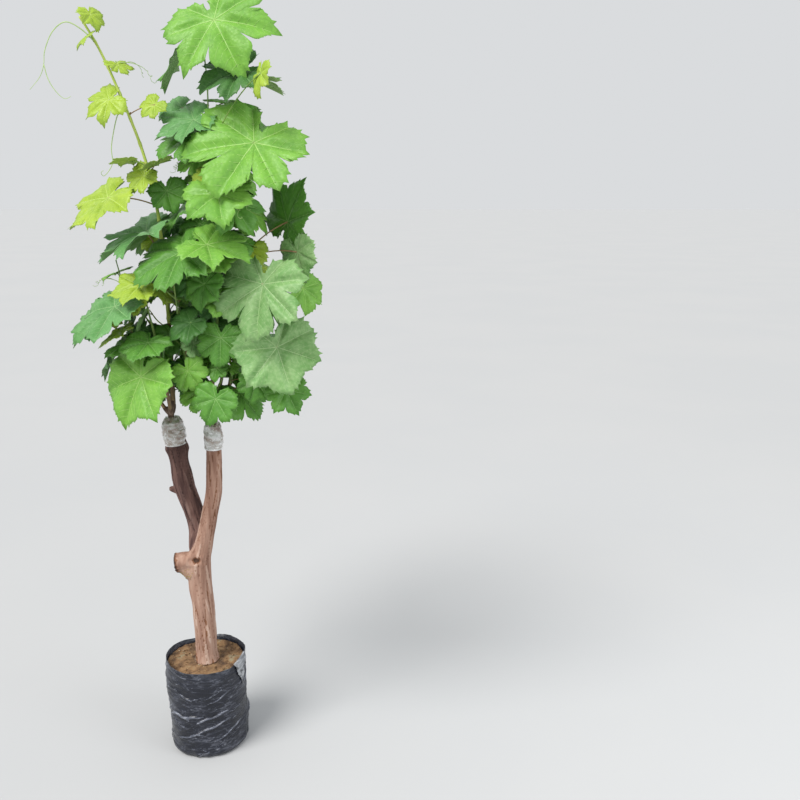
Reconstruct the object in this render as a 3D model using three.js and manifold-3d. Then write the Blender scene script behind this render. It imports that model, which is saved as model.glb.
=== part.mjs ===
// Grapevine in a black film grow bag: an old forked trunk with a sawn-off side stub, two arms with a
// taped cleft graft on each, and nine leafy shoots that grow from the grafted wood.
// Millimetres, +Z up. The origin is the centre of the bag's flat underside, +X is the viewer's right
// and +Y points away from the viewer.

import * as THREE from 'three';
import Module from 'manifold-3d';

const wasm = await Module();
wasm.setup();

const { Vector3 } = THREE;
const UP = new Vector3(0, 0, 1);
const DEGREE = Math.PI / 180;

// Clearance between pieces that touch
const GAP = 0.3;

// Grow bag: film that is filled to a round body, thicker here than real film
const BAG_HEIGHT = 235;
const BAG_FOOT_RADIUS = 82;
const BAG_CORNER_HEIGHT = 16;
const BAG_BELLY_RADIUS = 94;
const BAG_RIM_RADIUS = 96;
const BAG_WALL = 1.6;
const BAG_SIDES = 28;
const BAG_RIM_WAVE = 5;
const BAG_DENT = 1.6;
const BAG_FLOOR = 3;
const BAG_LEVELS = [BAG_FLOOR, BAG_CORNER_HEIGHT, 85, 150];

// Soil inside the bag, flat where the trunk stands
const SOIL_LEVEL = 220;
const SOIL_EDGE_LEVEL = 216;
const SOIL_LUMP = 2;
const SOIL_FLAT_RADIUS = 44;

// Wood: stations of x, y, z and radius. The right limb is the trunk with the right arm on it, the
// left limb leaves the back of the fork.
const RIGHT_LIMB = [
  [3, 0, 220.3, 31], [3, 0, 240, 26.5], [3, 0, 275, 25], [1.5, 0, 364, 26.5], [-3, 0, 430, 27.5],
  [-2, 0, 482, 28], [11, 0, 524, 22], [29, 0, 599, 18.5], [43, 0, 660, 18.3], [48, 0, 740, 17.6],
  [49, 0, 822, 17.2],
];
const LEFT_LIMB = [
  [-2, 4, 474, 22], [-5, 24, 508, 24], [-9, 41, 550, 22.5], [-21, 47, 600, 22.5], [-38, 47, 660, 24],
  [-47, 43, 740, 22.5], [-55, 39, 822, 22],
];
const SAWN_STUB = [[0, 0, 480, 20], [-30, -4, 484, 23.5], [-57, -7, 481, 22.5]];
const STUB_SHOULDER = [[2, 0, 432, 23], [-16, -4, 456, 22], [-37, -6, 476, 20]];
const PRUNED_SPUR = [[-38, 44, 640, 7], [-58, 38, 650, 7.5], [-71, 35, 656, 5]];
const FORK_HEIGHT = 553;
const WOOD_SIDES = 12;
const WOOD_RING_SPACING = 26;
const WOOD_LUMPS = 0.045;

// Grafts: clear tape wound over each arm's cut top and round the scion that stands on it
const TAPE_LENGTH = 56;
const TAPE_THICKNESS = 1.8;
const TAPE_CAP_RISE = 12;
const TAPE_BULGE = { left: 3.6, right: 2.8 };
const SCION_RADIUS = 7;
const SCION_LENGTH = 38;
const SPUR_RADIUS = 5.2;

// Shoots: stations of x, y, z, starting inside the scion. row is the compass angle of the two rows
// of leaves in degrees, leaf the midrib of a full leaf, and young the share of the cane after which
// the leaves get smaller.
const SHOOTS = [
  {
    name: 'leader_shoot', graft: 'left', seed: 11, row: 188, leaf: 100, young: 0.5, laterals: 0.65,
    stations: [[-53, 37, 850], [-50, 34, 874], [-41, 22, 1000], [-40, 8, 1150], [-43, 2, 1290],
      [-62, 0, 1409], [-97, 0, 1520], [-140, 0, 1628], [-176, -2, 1694]],
  },
  {
    name: 'left_outer_shoot', graft: 'left', seed: 22, row: 215, leaf: 104, young: 0.8, laterals: 0.65,
    stations: [[-55, 39, 838], [-69, 34, 856], [-102, 18, 930], [-122, 4, 1040], [-130, 0, 1130],
      [-142, -4, 1200]],
  },
  {
    name: 'left_front_shoot', graft: 'left', seed: 88, row: 240, leaf: 104, young: 0.8, laterals: 0.65,
    stations: [[-54, 38, 836], [-53, 24, 856], [-50, -12, 930], [-56, -36, 1020], [-70, -44, 1110],
      [-80, -42, 1180]],
  },
  {
    name: 'left_back_shoot', graft: 'left', seed: 33, row: 120, leaf: 98, young: 0.75, laterals: 0.65,
    stations: [[-54, 40, 840], [-52, 54, 858], [-60, 86, 940], [-62, 102, 1060], [-58, 104, 1180],
      [-70, 98, 1300]],
  },
  {
    name: 'right_tall_shoot', graft: 'right', seed: 44, row: 20, leaf: 110, young: 0.9, laterals: 0.65,
    stations: [[49, 0, 850], [51, 1, 874], [58, 12, 1000], [62, 16, 1150], [68, 12, 1300],
      [74, 4, 1440], [80, -6, 1560], [76, -10, 1640]],
  },
  {
    name: 'upper_front_shoot', graft: 'right', seed: 99, row: 250, leaf: 116, young: 1, laterals: 0.65,
    stations: [[49, -2, 846], [52, -16, 866], [68, -44, 960], [88, -58, 1100], [102, -60, 1240],
      [112, -58, 1380], [110, -54, 1470]],
  },
  {
    name: 'right_outer_shoot', graft: 'right', seed: 55, row: -30, leaf: 100, young: 0.8, laterals: 0.65,
    stations: [[50, 0, 838], [64, -4, 854], [98, -14, 930], [120, -18, 1040], [132, -16, 1140],
      [146, -12, 1220]],
  },
  {
    name: 'right_back_shoot', graft: 'right', seed: 66, row: 70, leaf: 98, young: 0.75, laterals: 0.65,
    stations: [[50, 1, 838], [53, 15, 856], [68, 58, 940], [82, 86, 1050], [86, 94, 1160],
      [80, 96, 1250]],
  },
  {
    name: 'front_shoot', graft: 'right', seed: 77, row: 255, leaf: 100, young: 0.8, laterals: 0.65,
    stations: [[48, -1, 838], [42, -14, 856], [22, -44, 930], [6, -60, 1030], [0, -64, 1120],
      [-6, -62, 1190]],
  },
];
const CANE_BASE_RADIUS = 4.4;
const CANE_TIP_RADIUS = 1.6;
const CANE_SIDES = 5;
const CANE_RING_SPACING = 60;
const NODE_SPACING = 54;
const FIRST_NODE = 34;
const LATERAL_LENGTH = 150;
const LATERAL_RADIUS = 2.4;
const LATERAL_NODE_SPACING = 42;
const LATERAL_LEAF_SHARE = 0.68;

// Forked tendril near the leader's tip: where it leaves the cane, as a share of the cane's length, and
// the stations of its stem and of its fork
const TENDRIL_ROOT = 0.93;
const TENDRIL_STEM = [
  [-172, -8, 1668], [-203, -10, 1682], [-232, -9, 1664], [-252, -8, 1628], [-257, -8, 1601],
  [-268, -7, 1577], [-292, -6, 1552],
];
const TENDRIL_FORK = [
  [-257, -8, 1601], [-250, -10, 1572], [-236, -11, 1548], [-220, -11, 1534], [-206, -10, 1538],
];
const TENDRIL_RADIUS = [1.7, 1.1];
const TENDRIL_SIDES = 4;

// Leaf: outline as angle from the midrib and radius as a share of the midrib, for one half
const LEAF_OUTLINE = [
  [0, 1], [14, 0.86], [30, 0.53], [42, 0.83], [54, 0.93], [77, 0.6], [100, 0.76], [140, 0.56],
  [174, 0.12],
];
const LEAF_EDGE_THICKNESS = 1.7;
const LEAF_HEART_THICKNESS = 3.6;
const PETIOLE_RADIUS = 1.9;
const PETIOLE_STEPS = 2;
const PETIOLE_SINK = 5;
const PETIOLE_ROOT_SINK = 0.7;

// How leaves hang: ranges that the seeded draws pick from
const AZIMUTH_SPREAD = 75;
const PETIOLE_RISE = [5, 50];
const PETIOLE_SHARE = [0.55, 0.95];
const BLADE_DROOP = [30, 80];
const BLADE_ROLL = [-28, 28];
const BLADE_CURL = [0.06, 0.26];
const BLADE_FOLD = [0.02, 0.16];
const SINUS_DEPTH = [0.82, 1.15];
const LIGHT = new Vector3(-0.25, -0.75, 0.6);
const LIGHT_PULL = 0.7;
const LEAF_TRIES = 14;
const TRY_SHRINK = 0.025;
const LEAF_CLEARANCE = 5.5;
const CROWN_FLOOR = 800;
const YOUNG_LEAF_SHARE = 0.34;
const YOUNG_STRETCH = 0.2;

// Materials
const MATERIALS = {
  film: { color: 0x2b2e33, roughness: 0.5, metalness: 0 },
  soil: { color: 0x8a5a3c, roughness: 1, metalness: 0 },
  bark: { color: 0x8d6a58, roughness: 0.95, metalness: 0 },
  darkBark: { color: 0x5c4238, roughness: 0.95, metalness: 0 },
  tape: { color: 0xb4b2ae, roughness: 0.25, metalness: 0 },
  scion: { color: 0x55402f, roughness: 0.9, metalness: 0 },
  leaf: { color: 0x5da63a, roughness: 0.55, metalness: 0 },
};

// Seeded random numbers between 0 and 1
function randomStream(seed) {
  let state = seed >>> 0;
  return () => {
    state = (state + 0x6d2b79f5) >>> 0;
    let mixed = Math.imul(state ^ (state >>> 15), state | 1);
    mixed ^= mixed + Math.imul(mixed ^ (mixed >>> 7), mixed | 61);
    return ((mixed ^ (mixed >>> 14)) >>> 0) / 4294967296;
  };
}

function mix(low, high, share) {
  return low + (high - low) * share;
}

function drawFrom(range, random) {
  return mix(range[0], range[1], random());
}

function clamp(value, low, high) {
  return Math.min(high, Math.max(low, value));
}

// A smooth line through stations, as short steps with their distance from the start. Each step holds
// a point, the direction of the line and the radius.
function smoothLine(stations, stepsEach = 12) {
  const steps = [];
  const last = stations.length - 1;
  const width = stations[0].length;
  for (let leg = 0; leg < last; leg += 1) {
    const [a, b, c, d] = [leg - 1, leg, leg + 1, leg + 2].map((i) => stations[clamp(i, 0, last)]);
    const stop = leg === last - 1 ? stepsEach : stepsEach - 1;
    for (let step = 0; step <= stop; step += 1) {
      const t = step / stepsEach;
      const values = [];
      for (let k = 0; k < width; k += 1) {
        const bend = -a[k] + 3 * b[k] - 3 * c[k] + d[k];
        const sag = 2 * a[k] - 5 * b[k] + 4 * c[k] - d[k];
        values.push(0.5 * (2 * b[k] + (c[k] - a[k]) * t + sag * t * t + bend * t * t * t));
      }
      steps.push({ point: new Vector3(values[0], values[1], values[2]), radius: values[3], distance: 0 });
    }
  }
  for (let i = 1; i < steps.length; i += 1) {
    const leap = steps[i].point.clone().sub(steps[i - 1].point);
    steps[i].distance = steps[i - 1].distance + leap.length();
    steps[i].direction = leap.normalize();
    steps[i].side = squareTo(steps[i - 1].side ?? startSide(leap), leap);
  }
  steps[0].direction = steps[1].direction;
  steps[0].side = steps[1].side;
  return steps;
}

// Point, direction, side and radius at a distance along a line
function lineAt(steps, distance) {
  let i = 1;
  while (i < steps.length - 1 && steps[i].distance < distance) {
    i += 1;
  }
  const [from, to] = [steps[i - 1], steps[i]];
  const share = clamp((distance - from.distance) / (to.distance - from.distance), 0, 1);
  const direction = from.direction.clone().lerp(to.direction, share).normalize();
  return {
    point: from.point.clone().lerp(to.point, share),
    direction,
    side: squareTo(from.side, direction),
    radius: mix(from.radius, to.radius, share),
  };
}

function lineLength(steps) {
  return steps[steps.length - 1].distance;
}

// Distance along a line at which it passes a height
function distanceAtHeight(steps, height) {
  return steps.find((step) => step.point.z >= height).distance;
}

// A ring of points round a centre; bump(angle) scales the radius
function ringAround(centre, side, direction, radius, sides, bump = () => 1) {
  const across = direction.clone().cross(side);
  const ring = [];
  for (let i = 0; i < sides; i += 1) {
    const angle = (i / sides) * 2 * Math.PI;
    const reach = radius * bump(angle);
    ring.push(centre.clone()
      .addScaledVector(side, Math.cos(angle) * reach)
      .addScaledVector(across, Math.sin(angle) * reach));
  }
  return ring;
}

// The part of a vector that lies square to a direction, at unit length
function squareTo(vector, direction) {
  return vector.clone().addScaledVector(direction, -vector.dot(direction)).normalize();
}

function startSide(direction) {
  const reference = Math.abs(direction.x) < 0.8 ? new Vector3(1, 0, 0) : UP;
  return squareTo(reference, direction);
}

// Skin over a row of rings. An open row is capped at both ends, a closed one runs back to its start.
function skin(rings, closed = false) {
  const sides = rings[0].length;
  const points = rings.flat();
  const faces = [];
  const bands = closed ? rings.length : rings.length - 1;
  for (let band = 0; band < bands; band += 1) {
    const low = band * sides;
    const high = ((band + 1) % rings.length) * sides;
    for (let i = 0; i < sides; i += 1) {
      const j = (i + 1) % sides;
      faces.push([low + i, low + j, high + j], [low + i, high + j, high + i]);
    }
  }
  if (!closed) {
    capRing(points, faces, 0, sides, true);
    capRing(points, faces, (rings.length - 1) * sides, sides, false);
  }
  return { points, faces };
}

// The same skin with its faces turned the other way
function turnedOver({ points, faces }) {
  return { points, faces: faces.map(([a, b, c]) => [a, c, b]) };
}

// Close a ring with a fan from its middle
function capRing(points, faces, first, sides, flipped) {
  const middle = new Vector3();
  for (let i = 0; i < sides; i += 1) {
    middle.addScaledVector(points[first + i], 1 / sides);
  }
  const centre = points.push(middle) - 1;
  for (let i = 0; i < sides; i += 1) {
    const pair = [first + i, first + ((i + 1) % sides)];
    faces.push(flipped ? [centre, pair[1], pair[0]] : [centre, pair[0], pair[1]]);
  }
}

function solidFrom({ points, faces }) {
  const vertProperties = new Float32Array(points.flatMap((point) => point.toArray()));
  const triVerts = new Uint32Array(faces.flat());
  return new wasm.Manifold(new wasm.Mesh({ numProp: 3, vertProperties, triVerts }));
}

function joined(shells) {
  return shells.map(solidFrom).reduce((whole, piece) => whole.add(piece));
}

function geometryFrom(positions, indices) {
  const geometry = new THREE.BufferGeometry();
  geometry.setAttribute('position', new THREE.BufferAttribute(positions, 3));
  geometry.setIndex(new THREE.BufferAttribute(indices, 1));
  geometry.computeVertexNormals();
  return geometry;
}

function meshFromShell(name, shell, material) {
  const positions = new Float32Array(shell.points.flatMap((point) => point.toArray()));
  return namedMesh(name, geometryFrom(positions, new Uint32Array(shell.faces.flat())), material);
}

function meshFromSolid(name, solid, material) {
  const mesh = solid.getMesh();
  return namedMesh(name, geometryFrom(mesh.vertProperties, mesh.triVerts), material);
}

function namedMesh(name, geometry, material) {
  const mesh = new THREE.Mesh(geometry, new THREE.MeshStandardMaterial(MATERIALS[material]));
  mesh.name = name;
  return mesh;
}

// Bag and soil
function bagRadius(height) {
  if (height < BAG_CORNER_HEIGHT) {
    const share = 1 - height / BAG_CORNER_HEIGHT;
    return mix(BAG_BELLY_RADIUS, BAG_FOOT_RADIUS, 1 - Math.sqrt(1 - share * share));
  }
  const share = (height - BAG_CORNER_HEIGHT) / (BAG_HEIGHT - BAG_CORNER_HEIGHT);
  return mix(BAG_BELLY_RADIUS, BAG_RIM_RADIUS, share);
}

function bagDent(angle, height) {
  const fade = clamp(height / 60, 0, 1);
  const dent = Math.sin(3 * angle + height / 50) + 0.7 * Math.sin(5 * angle - height / 31 + 2);
  return BAG_DENT * fade * dent;
}

function rimHeight(angle) {
  return BAG_HEIGHT + BAG_RIM_WAVE * (0.6 * Math.sin(2 * angle + 0.8) + 0.4 * Math.sin(5 * angle + 2));
}

// A level ring of the bag, pulled in by a distance; heightAt(angle) gives each point's height
function bagRing(inset, heightAt) {
  const ring = [];
  for (let i = 0; i < BAG_SIDES; i += 1) {
    const angle = (i / BAG_SIDES) * 2 * Math.PI;
    const height = heightAt(angle);
    const radius = bagRadius(height) + bagDent(angle, height) - inset;
    ring.push(new Vector3(Math.cos(angle) * radius, Math.sin(angle) * radius, height));
  }
  return ring;
}

function growBag() {
  const levels = [...BAG_LEVELS, SOIL_EDGE_LEVEL];
  const outside = [0, ...levels].map((level) => bagRing(0, () => level));
  const inside = levels.map((level) => bagRing(BAG_WALL, () => level)).reverse();
  const rings = [...outside, bagRing(0, rimHeight), bagRing(BAG_WALL, rimHeight), ...inside];
  return meshFromShell('grow_bag', skin(rings), 'film');
}

function soilTop(angle, radius) {
  const share = clamp((radius - SOIL_FLAT_RADIUS) / (BAG_BELLY_RADIUS - SOIL_FLAT_RADIUS), 0, 1);
  const lump = Math.sin(4 * angle + 1) + 0.6 * Math.sin(7 * angle + radius / 9);
  return mix(SOIL_LEVEL, SOIL_EDGE_LEVEL, share) + share * (1 - share) * 4 * SOIL_LUMP * lump;
}

function soilRing(radius) {
  const ring = [];
  for (let i = 0; i < BAG_SIDES; i += 1) {
    const angle = (i / BAG_SIDES) * 2 * Math.PI;
    const height = soilTop(angle, radius);
    ring.push(new Vector3(Math.cos(angle) * radius, Math.sin(angle) * radius, height));
  }
  return ring;
}

function soil() {
  const rings = [...BAG_LEVELS, SOIL_EDGE_LEVEL].map((level) => bagRing(BAG_WALL + GAP, () => level));
  rings[0].forEach((point) => point.addScaledVector(UP, GAP));
  for (const radius of [78, 60, SOIL_FLAT_RADIUS]) {
    rings.push(soilRing(radius));
  }
  // Listed from the top down, so that its facets lie along those of the bag's inner wall
  return meshFromShell('soil', turnedOver(skin(rings.reverse())), 'soil');
}

// Wood, lumpy but for its smooth top under the tape
function woodBump(steps, distance) {
  const lumps = WOOD_LUMPS * clamp((lineLength(steps) - TAPE_LENGTH - 10 - distance) / 60, 0, 1);
  return (angle) => 1
    + lumps * Math.sin(3 * angle + distance / 45)
    + 0.6 * lumps * Math.sin(5 * angle - distance / 30 + 1);
}

// Rings along a stretch of a limb, with how much the radius grows past the wood
function limbRings(steps, from, to, extra = () => 0) {
  const count = Math.max(1, Math.round((to - from) / WOOD_RING_SPACING));
  const rings = [];
  for (let i = 0; i <= count; i += 1) {
    const distance = mix(from, to, i / count);
    const { point, direction, side, radius } = lineAt(steps, distance);
    rings.push(ringAround(point, side, direction, radius + extra(i / count), WOOD_SIDES,
      woodBump(steps, distance)));
  }
  return rings;
}

const RIGHT_LINE = smoothLine(RIGHT_LIMB);
const LEFT_LINE = smoothLine(LEFT_LIMB);
const RIGHT_FORK = distanceAtHeight(RIGHT_LINE, FORK_HEIGHT);
const LEFT_FORK = distanceAtHeight(LEFT_LINE, FORK_HEIGHT);

function sideBranch(stations) {
  const steps = smoothLine(stations);
  return skin(limbRings(steps, 0, lineLength(steps)));
}

function trunk() {
  const pieces = [
    skin(limbRings(RIGHT_LINE, 0, RIGHT_FORK)),
    skin(limbRings(LEFT_LINE, 0, LEFT_FORK)),
    sideBranch(SAWN_STUB),
    sideBranch(STUB_SHOULDER),
  ];
  return meshFromSolid('trunk', joined(pieces), 'bark');
}

function rightArm() {
  const rings = limbRings(RIGHT_LINE, RIGHT_FORK + GAP, lineLength(RIGHT_LINE));
  return meshFromShell('right_arm', skin(rings), 'bark');
}

function leftArm() {
  const rings = limbRings(LEFT_LINE, LEFT_FORK + GAP, lineLength(LEFT_LINE));
  return meshFromSolid('left_arm', joined([skin(rings), sideBranch(PRUNED_SPUR)]), 'darkBark');
}

// Tape: up the outside, in over the cut top of the arm to the scion, and back down along the wood
function graftTape(name, steps, bulge) {
  const top = lineLength(steps);
  const swell = (share) => TAPE_THICKNESS + bulge * Math.sin(Math.PI * clamp(share, 0.08, 1));
  const outside = limbRings(steps, top - TAPE_LENGTH, top, (share) => GAP + swell(share));
  const inside = limbRings(steps, top - TAPE_LENGTH, top, () => GAP).reverse();
  const { point, direction, side, radius } = lineAt(steps, top);
  const collar = (rise, reach) => ringAround(
    point.clone().addScaledVector(direction, rise), side, direction, reach, WOOD_SIDES);
  const cap = [
    collar(TAPE_CAP_RISE * 0.6, mix(SCION_RADIUS, radius, 0.65)),
    collar(TAPE_CAP_RISE, SCION_RADIUS + GAP + TAPE_THICKNESS),
    collar(TAPE_CAP_RISE, SCION_RADIUS + GAP),
    collar(TAPE_CAP_RISE * 0.6 - 2 * TAPE_THICKNESS, SCION_RADIUS + GAP),
    collar(GAP, radius - TAPE_THICKNESS),
  ];
  const rings = [...outside, ...cap, ...inside];
  return meshFromShell(name, skin(rings, true), 'tape');
}

// The short scion on an arm's cut top, with a spur under each shoot
function scion(name, steps, shoots) {
  const { point, direction, side } = lineAt(steps, lineLength(steps));
  const ring = (rise, radius) => ringAround(
    point.clone().addScaledVector(direction, rise), side, direction, radius, 8);
  const post = skin([ring(GAP, SCION_RADIUS), ring(SCION_LENGTH, SCION_RADIUS * 0.9)]);
  const spurs = shoots.map(({ line, start }) => {
    const [root, tip] = [lineAt(line, 0), lineAt(line, start - GAP)];
    const rings = [root, tip].map((end) => ringAround(
      end.point, startSide(end.direction), end.direction, SPUR_RADIUS, 6));
    return skin(rings);
  });
  return meshFromSolid(name, joined([post, ...spurs]), 'scion');
}

// Clearance between organs. An organ is a list of thick lines and a list of thin triangles.
function organ(lines, triangles) {
  const corners = [...lines.flatMap(([a, b]) => [a, b]), ...triangles.flat()];
  return { lines, triangles, sphere: new THREE.Sphere().setFromPoints(corners) };
}

// Shortest distance between two straight pieces of line
function lineDistance(a, b, c, d) {
  const along = b.clone().sub(a);
  const other = d.clone().sub(c);
  const between = a.clone().sub(c);
  const [aa, cc, ac] = [along.dot(along), other.dot(other), along.dot(other)];
  const [ab, cb] = [along.dot(between), other.dot(between)];
  const spread = aa * cc - ac * ac;
  let s = spread > 1e-9 ? clamp((ac * cb - ab * cc) / spread, 0, 1) : 0;
  const t = clamp((ac * s + cb) / cc, 0, 1);
  s = clamp((ac * t - ab) / aa, 0, 1);
  return a.clone().addScaledVector(along, s).distanceTo(c.clone().addScaledVector(other, t));
}

// Whether a piece of line comes nearer to a triangle's face than a reach
function lineNearTriangle(a, b, [p, q, r], reach) {
  const normal = q.clone().sub(p).cross(r.clone().sub(p));
  const area = normal.dot(normal);
  const unit = Math.sqrt(area);
  const [high, low] = [a.clone().sub(p).dot(normal) / unit, b.clone().sub(p).dot(normal) / unit];
  const t = Math.abs(high - low) < 1e-9 ? 0 : clamp(high / (high - low), 0, 1);
  if (Math.abs(mix(high, low, t)) > reach) {
    return false;
  }
  const spot = a.clone().lerp(b, t);
  return [[p, q], [q, r], [r, p]].every(([from, to]) => {
    const inward = to.clone().sub(from).cross(spot.clone().sub(from)).dot(normal);
    return inward > 0;
  });
}

function linesCrossTriangles(lines, triangles, reach) {
  return lines.some(([a, b, radius]) => triangles.some(
    (triangle) => lineNearTriangle(a, b, triangle, reach + radius)));
}

function organsTouch(one, two, reach) {
  const apart = one.sphere.center.distanceTo(two.sphere.center);
  if (apart > one.sphere.radius + two.sphere.radius + reach + CANE_BASE_RADIUS) {
    return false;
  }
  if (linesCrossTriangles(one.lines, two.triangles, reach)) {
    return true;
  }
  if (linesCrossTriangles(two.lines, one.triangles, reach)) {
    return true;
  }
  return one.lines.some(([a, b, thick]) => two.lines.some(
    ([c, d, other]) => lineDistance(a, b, c, d) < reach + thick + other));
}

// Leaves
function leafMidPoint(pose, angle, share) {
  const radius = pose.size * share;
  const along = radius * Math.cos(angle);
  const across = radius * Math.sin(angle);
  const lift = pose.fold * Math.abs(across) - pose.curl * radius * share;
  return pose.heart.clone()
    .addScaledVector(pose.midrib, along)
    .addScaledVector(pose.across, across)
    .addScaledVector(pose.normal, lift);
}

function leafOutline(sinusDepth) {
  const half = LEAF_OUTLINE.map(([degrees, share]) => {
    const isSinus = degrees === 30 || degrees === 77;
    return { angle: degrees * DEGREE, share: isSinus ? share / sinusDepth : share };
  });
  const mirrored = half.slice(1).reverse().map(({ angle, share }) => ({ angle: -angle, share }));
  return [...half, ...mirrored];
}

// The pose of a leaf on its stalk: where the stalk leaves the cane, its knee, the heart of the blade
// and the blade's axes
function leafPose(root, azimuth, size, random) {
  const turned = (azimuth + (random() - 0.5) * AZIMUTH_SPREAD) * DEGREE;
  const outward = new Vector3(Math.cos(turned), Math.sin(turned), 0);
  const rise = drawFrom(PETIOLE_RISE, random) * DEGREE;
  const length = size * drawFrom(PETIOLE_SHARE, random);
  const droop = drawFrom(BLADE_DROOP, random) * DEGREE;
  const roll = drawFrom(BLADE_ROLL, random) * DEGREE;
  const heart = root.clone()
    .addScaledVector(outward, length * Math.cos(rise))
    .addScaledVector(UP, length * Math.sin(rise));
  const knee = root.clone()
    .addScaledVector(outward, length * 0.45 * Math.cos(rise))
    .addScaledVector(UP, length * (0.45 * Math.sin(rise) + 0.16));
  const normal = UP.clone().multiplyScalar(Math.cos(droop))
    .addScaledVector(outward, Math.sin(droop))
    .addScaledVector(LIGHT, LIGHT_PULL)
    .normalize();
  const level = squareTo(outward.clone().addScaledVector(UP, -Math.tan(droop)), normal);
  const across = normal.clone().cross(level);
  const midrib = level.clone().multiplyScalar(Math.cos(roll)).addScaledVector(across, Math.sin(roll));
  return {
    root, knee, heart, normal, midrib,
    across: normal.clone().cross(midrib),
    size,
    curl: drawFrom(BLADE_CURL, random),
    fold: drawFrom(BLADE_FOLD, random),
    outline: leafOutline(drawFrom(SINUS_DEPTH, random)),
  };
}

function stalkPoints(pose, count) {
  const points = [];
  for (let i = 0; i <= count; i += 1) {
    const t = i / count;
    points.push(pose.root.clone().multiplyScalar((1 - t) * (1 - t))
      .addScaledVector(pose.knee, 2 * t * (1 - t))
      .addScaledVector(pose.heart, t * t));
  }
  return points;
}

function leafOrgan(pose) {
  const rim = pose.outline.map(({ angle, share }) => leafMidPoint(pose, angle, share));
  const stalk = stalkPoints(pose, PETIOLE_STEPS);
  const lines = [];
  const triangles = [];
  rim.forEach((point, i) => {
    const next = rim[(i + 1) % rim.length];
    lines.push([point, next, 0], [pose.heart, point, 0]);
    triangles.push([pose.heart, point, next]);
  });
  const free = stalk[0].clone().lerp(stalk[1], 0.5);
  const stalkLines = [[free, stalk[1], PETIOLE_RADIUS]];
  for (let i = 1; i < PETIOLE_STEPS; i += 1) {
    stalkLines.push([stalk[i], stalk[i + 1], PETIOLE_RADIUS]);
  }
  return organ([...lines, ...stalkLines], triangles);
}

function bladeShell(pose) {
  const middle = pose.outline.map(({ angle, share }) => leafMidPoint(pose, angle, share));
  const count = middle.length;
  const lifted = (sign, thickness) => (point) => point.clone()
    .addScaledVector(pose.normal, (sign * thickness) / 2);
  const points = [
    ...middle.map(lifted(1, LEAF_EDGE_THICKNESS)),
    ...middle.map(lifted(-1, LEAF_EDGE_THICKNESS)),
    lifted(1, LEAF_HEART_THICKNESS)(pose.heart),
    lifted(-1, LEAF_HEART_THICKNESS)(pose.heart),
  ];
  const faces = [];
  for (let i = 0; i < count; i += 1) {
    const j = (i + 1) % count;
    faces.push([2 * count, i, j], [2 * count + 1, count + j, count + i]);
    faces.push([i, count + i, count + j], [i, count + j, j]);
  }
  return { points, faces };
}

function tubeShell(points, radiusAt, sides) {
  const rings = [];
  let side = startSide(points[1].clone().sub(points[0]).normalize());
  points.forEach((point, i) => {
    const ahead = points[Math.min(i + 1, points.length - 1)];
    const behind = points[Math.max(i - 1, 0)];
    const direction = ahead.clone().sub(behind).normalize();
    side = squareTo(side, direction);
    rings.push(ringAround(point, side, direction, radiusAt(i / (points.length - 1)), sides));
  });
  return skin(rings);
}

function stalkShell(pose) {
  const points = stalkPoints(pose, PETIOLE_STEPS);
  const back = pose.root.clone().sub(pose.knee).normalize();
  points[0] = pose.root.clone().addScaledVector(back, PETIOLE_ROOT_SINK);
  points.push(pose.heart.clone().addScaledVector(pose.midrib, PETIOLE_SINK));
  return tubeShell(points, () => PETIOLE_RADIUS, 3);
}

// Canes
function caneRadius(share, base) {
  return mix(base, CANE_TIP_RADIUS, share);
}

function canePoints(cane, spacing) {
  const length = lineLength(cane.line) - cane.start;
  const count = Math.max(2, Math.round(length / spacing));
  const points = [];
  for (let i = 0; i <= count; i += 1) {
    points.push(lineAt(cane.line, cane.start + (length * i) / count).point);
  }
  return points;
}

function caneOrgan(cane) {
  const points = canePoints(cane, CANE_RING_SPACING / 2);
  const lines = points.slice(1).map((point, i) => [points[i], point, cane.radius]);
  return organ(lines, []);
}

function limbOrgan(steps) {
  const length = lineLength(steps);
  const lines = [];
  for (let from = 0; from < length; from += WOOD_RING_SPACING) {
    const [a, b] = [lineAt(steps, from), lineAt(steps, Math.min(length, from + WOOD_RING_SPACING))];
    lines.push([a.point, b.point, a.radius + TAPE_THICKNESS + TAPE_BULGE.left]);
  }
  return organ(lines, []);
}

// Size of a leaf as a share of the shoot's full leaf, by how far up the cane it grows
function sizeShare(share, young) {
  const rising = mix(0.78, 1, clamp(share / 0.25, 0, 1));
  const falling = mix(1, YOUNG_LEAF_SHARE, clamp((share - young) / YOUNG_STRETCH, 0, 1));
  return rising * falling;
}

// Try to hang a leaf on a cane; it is skipped where each try touches a neighbour or leaves the space
function hangLeaf(cane, distance, azimuth, size, seed, organs) {
  const root = lineAt(cane.line, distance).point;
  for (let attempt = 0; attempt < LEAF_TRIES; attempt += 1) {
    const random = randomStream(seed * 100 + attempt);
    const shrunk = size * (1 - TRY_SHRINK * attempt);
    const pose = leafPose(root, azimuth, shrunk, random);
    const leaf = leafOrgan(pose);
    const lowest = Math.min(...leaf.triangles.flat().map((point) => point.z));
    const isClear = organs.every((other) => !blocks(leaf, other, cane));
    if (lowest > CROWN_FLOOR && isClear) {
      organs.push(leaf);
      cane.leaves.push(pose);
      return;
    }
  }
}

// A leaf's stalk may touch the cane that carries it, so only its blade is held clear of that cane
function blocks(leaf, other, cane) {
  if (other === cane.organ) {
    return linesCrossTriangles(other.lines, leaf.triangles, LEAF_CLEARANCE / 2);
  }
  return organsTouch(leaf, other, LEAF_CLEARANCE);
}

function leavesAlong(cane, spacing, first, organs) {
  const length = lineLength(cane.line) - cane.start;
  let count = 0;
  for (let along = first; along <= length; along += spacing) {
    const azimuth = cane.row + (count % 2) * 180;
    const size = cane.leaf * sizeShare(along / length, cane.young);
    hangLeaf(cane, cane.start + along, azimuth, size, cane.seed * 100 + count, organs);
    count += 1;
  }
}

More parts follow.
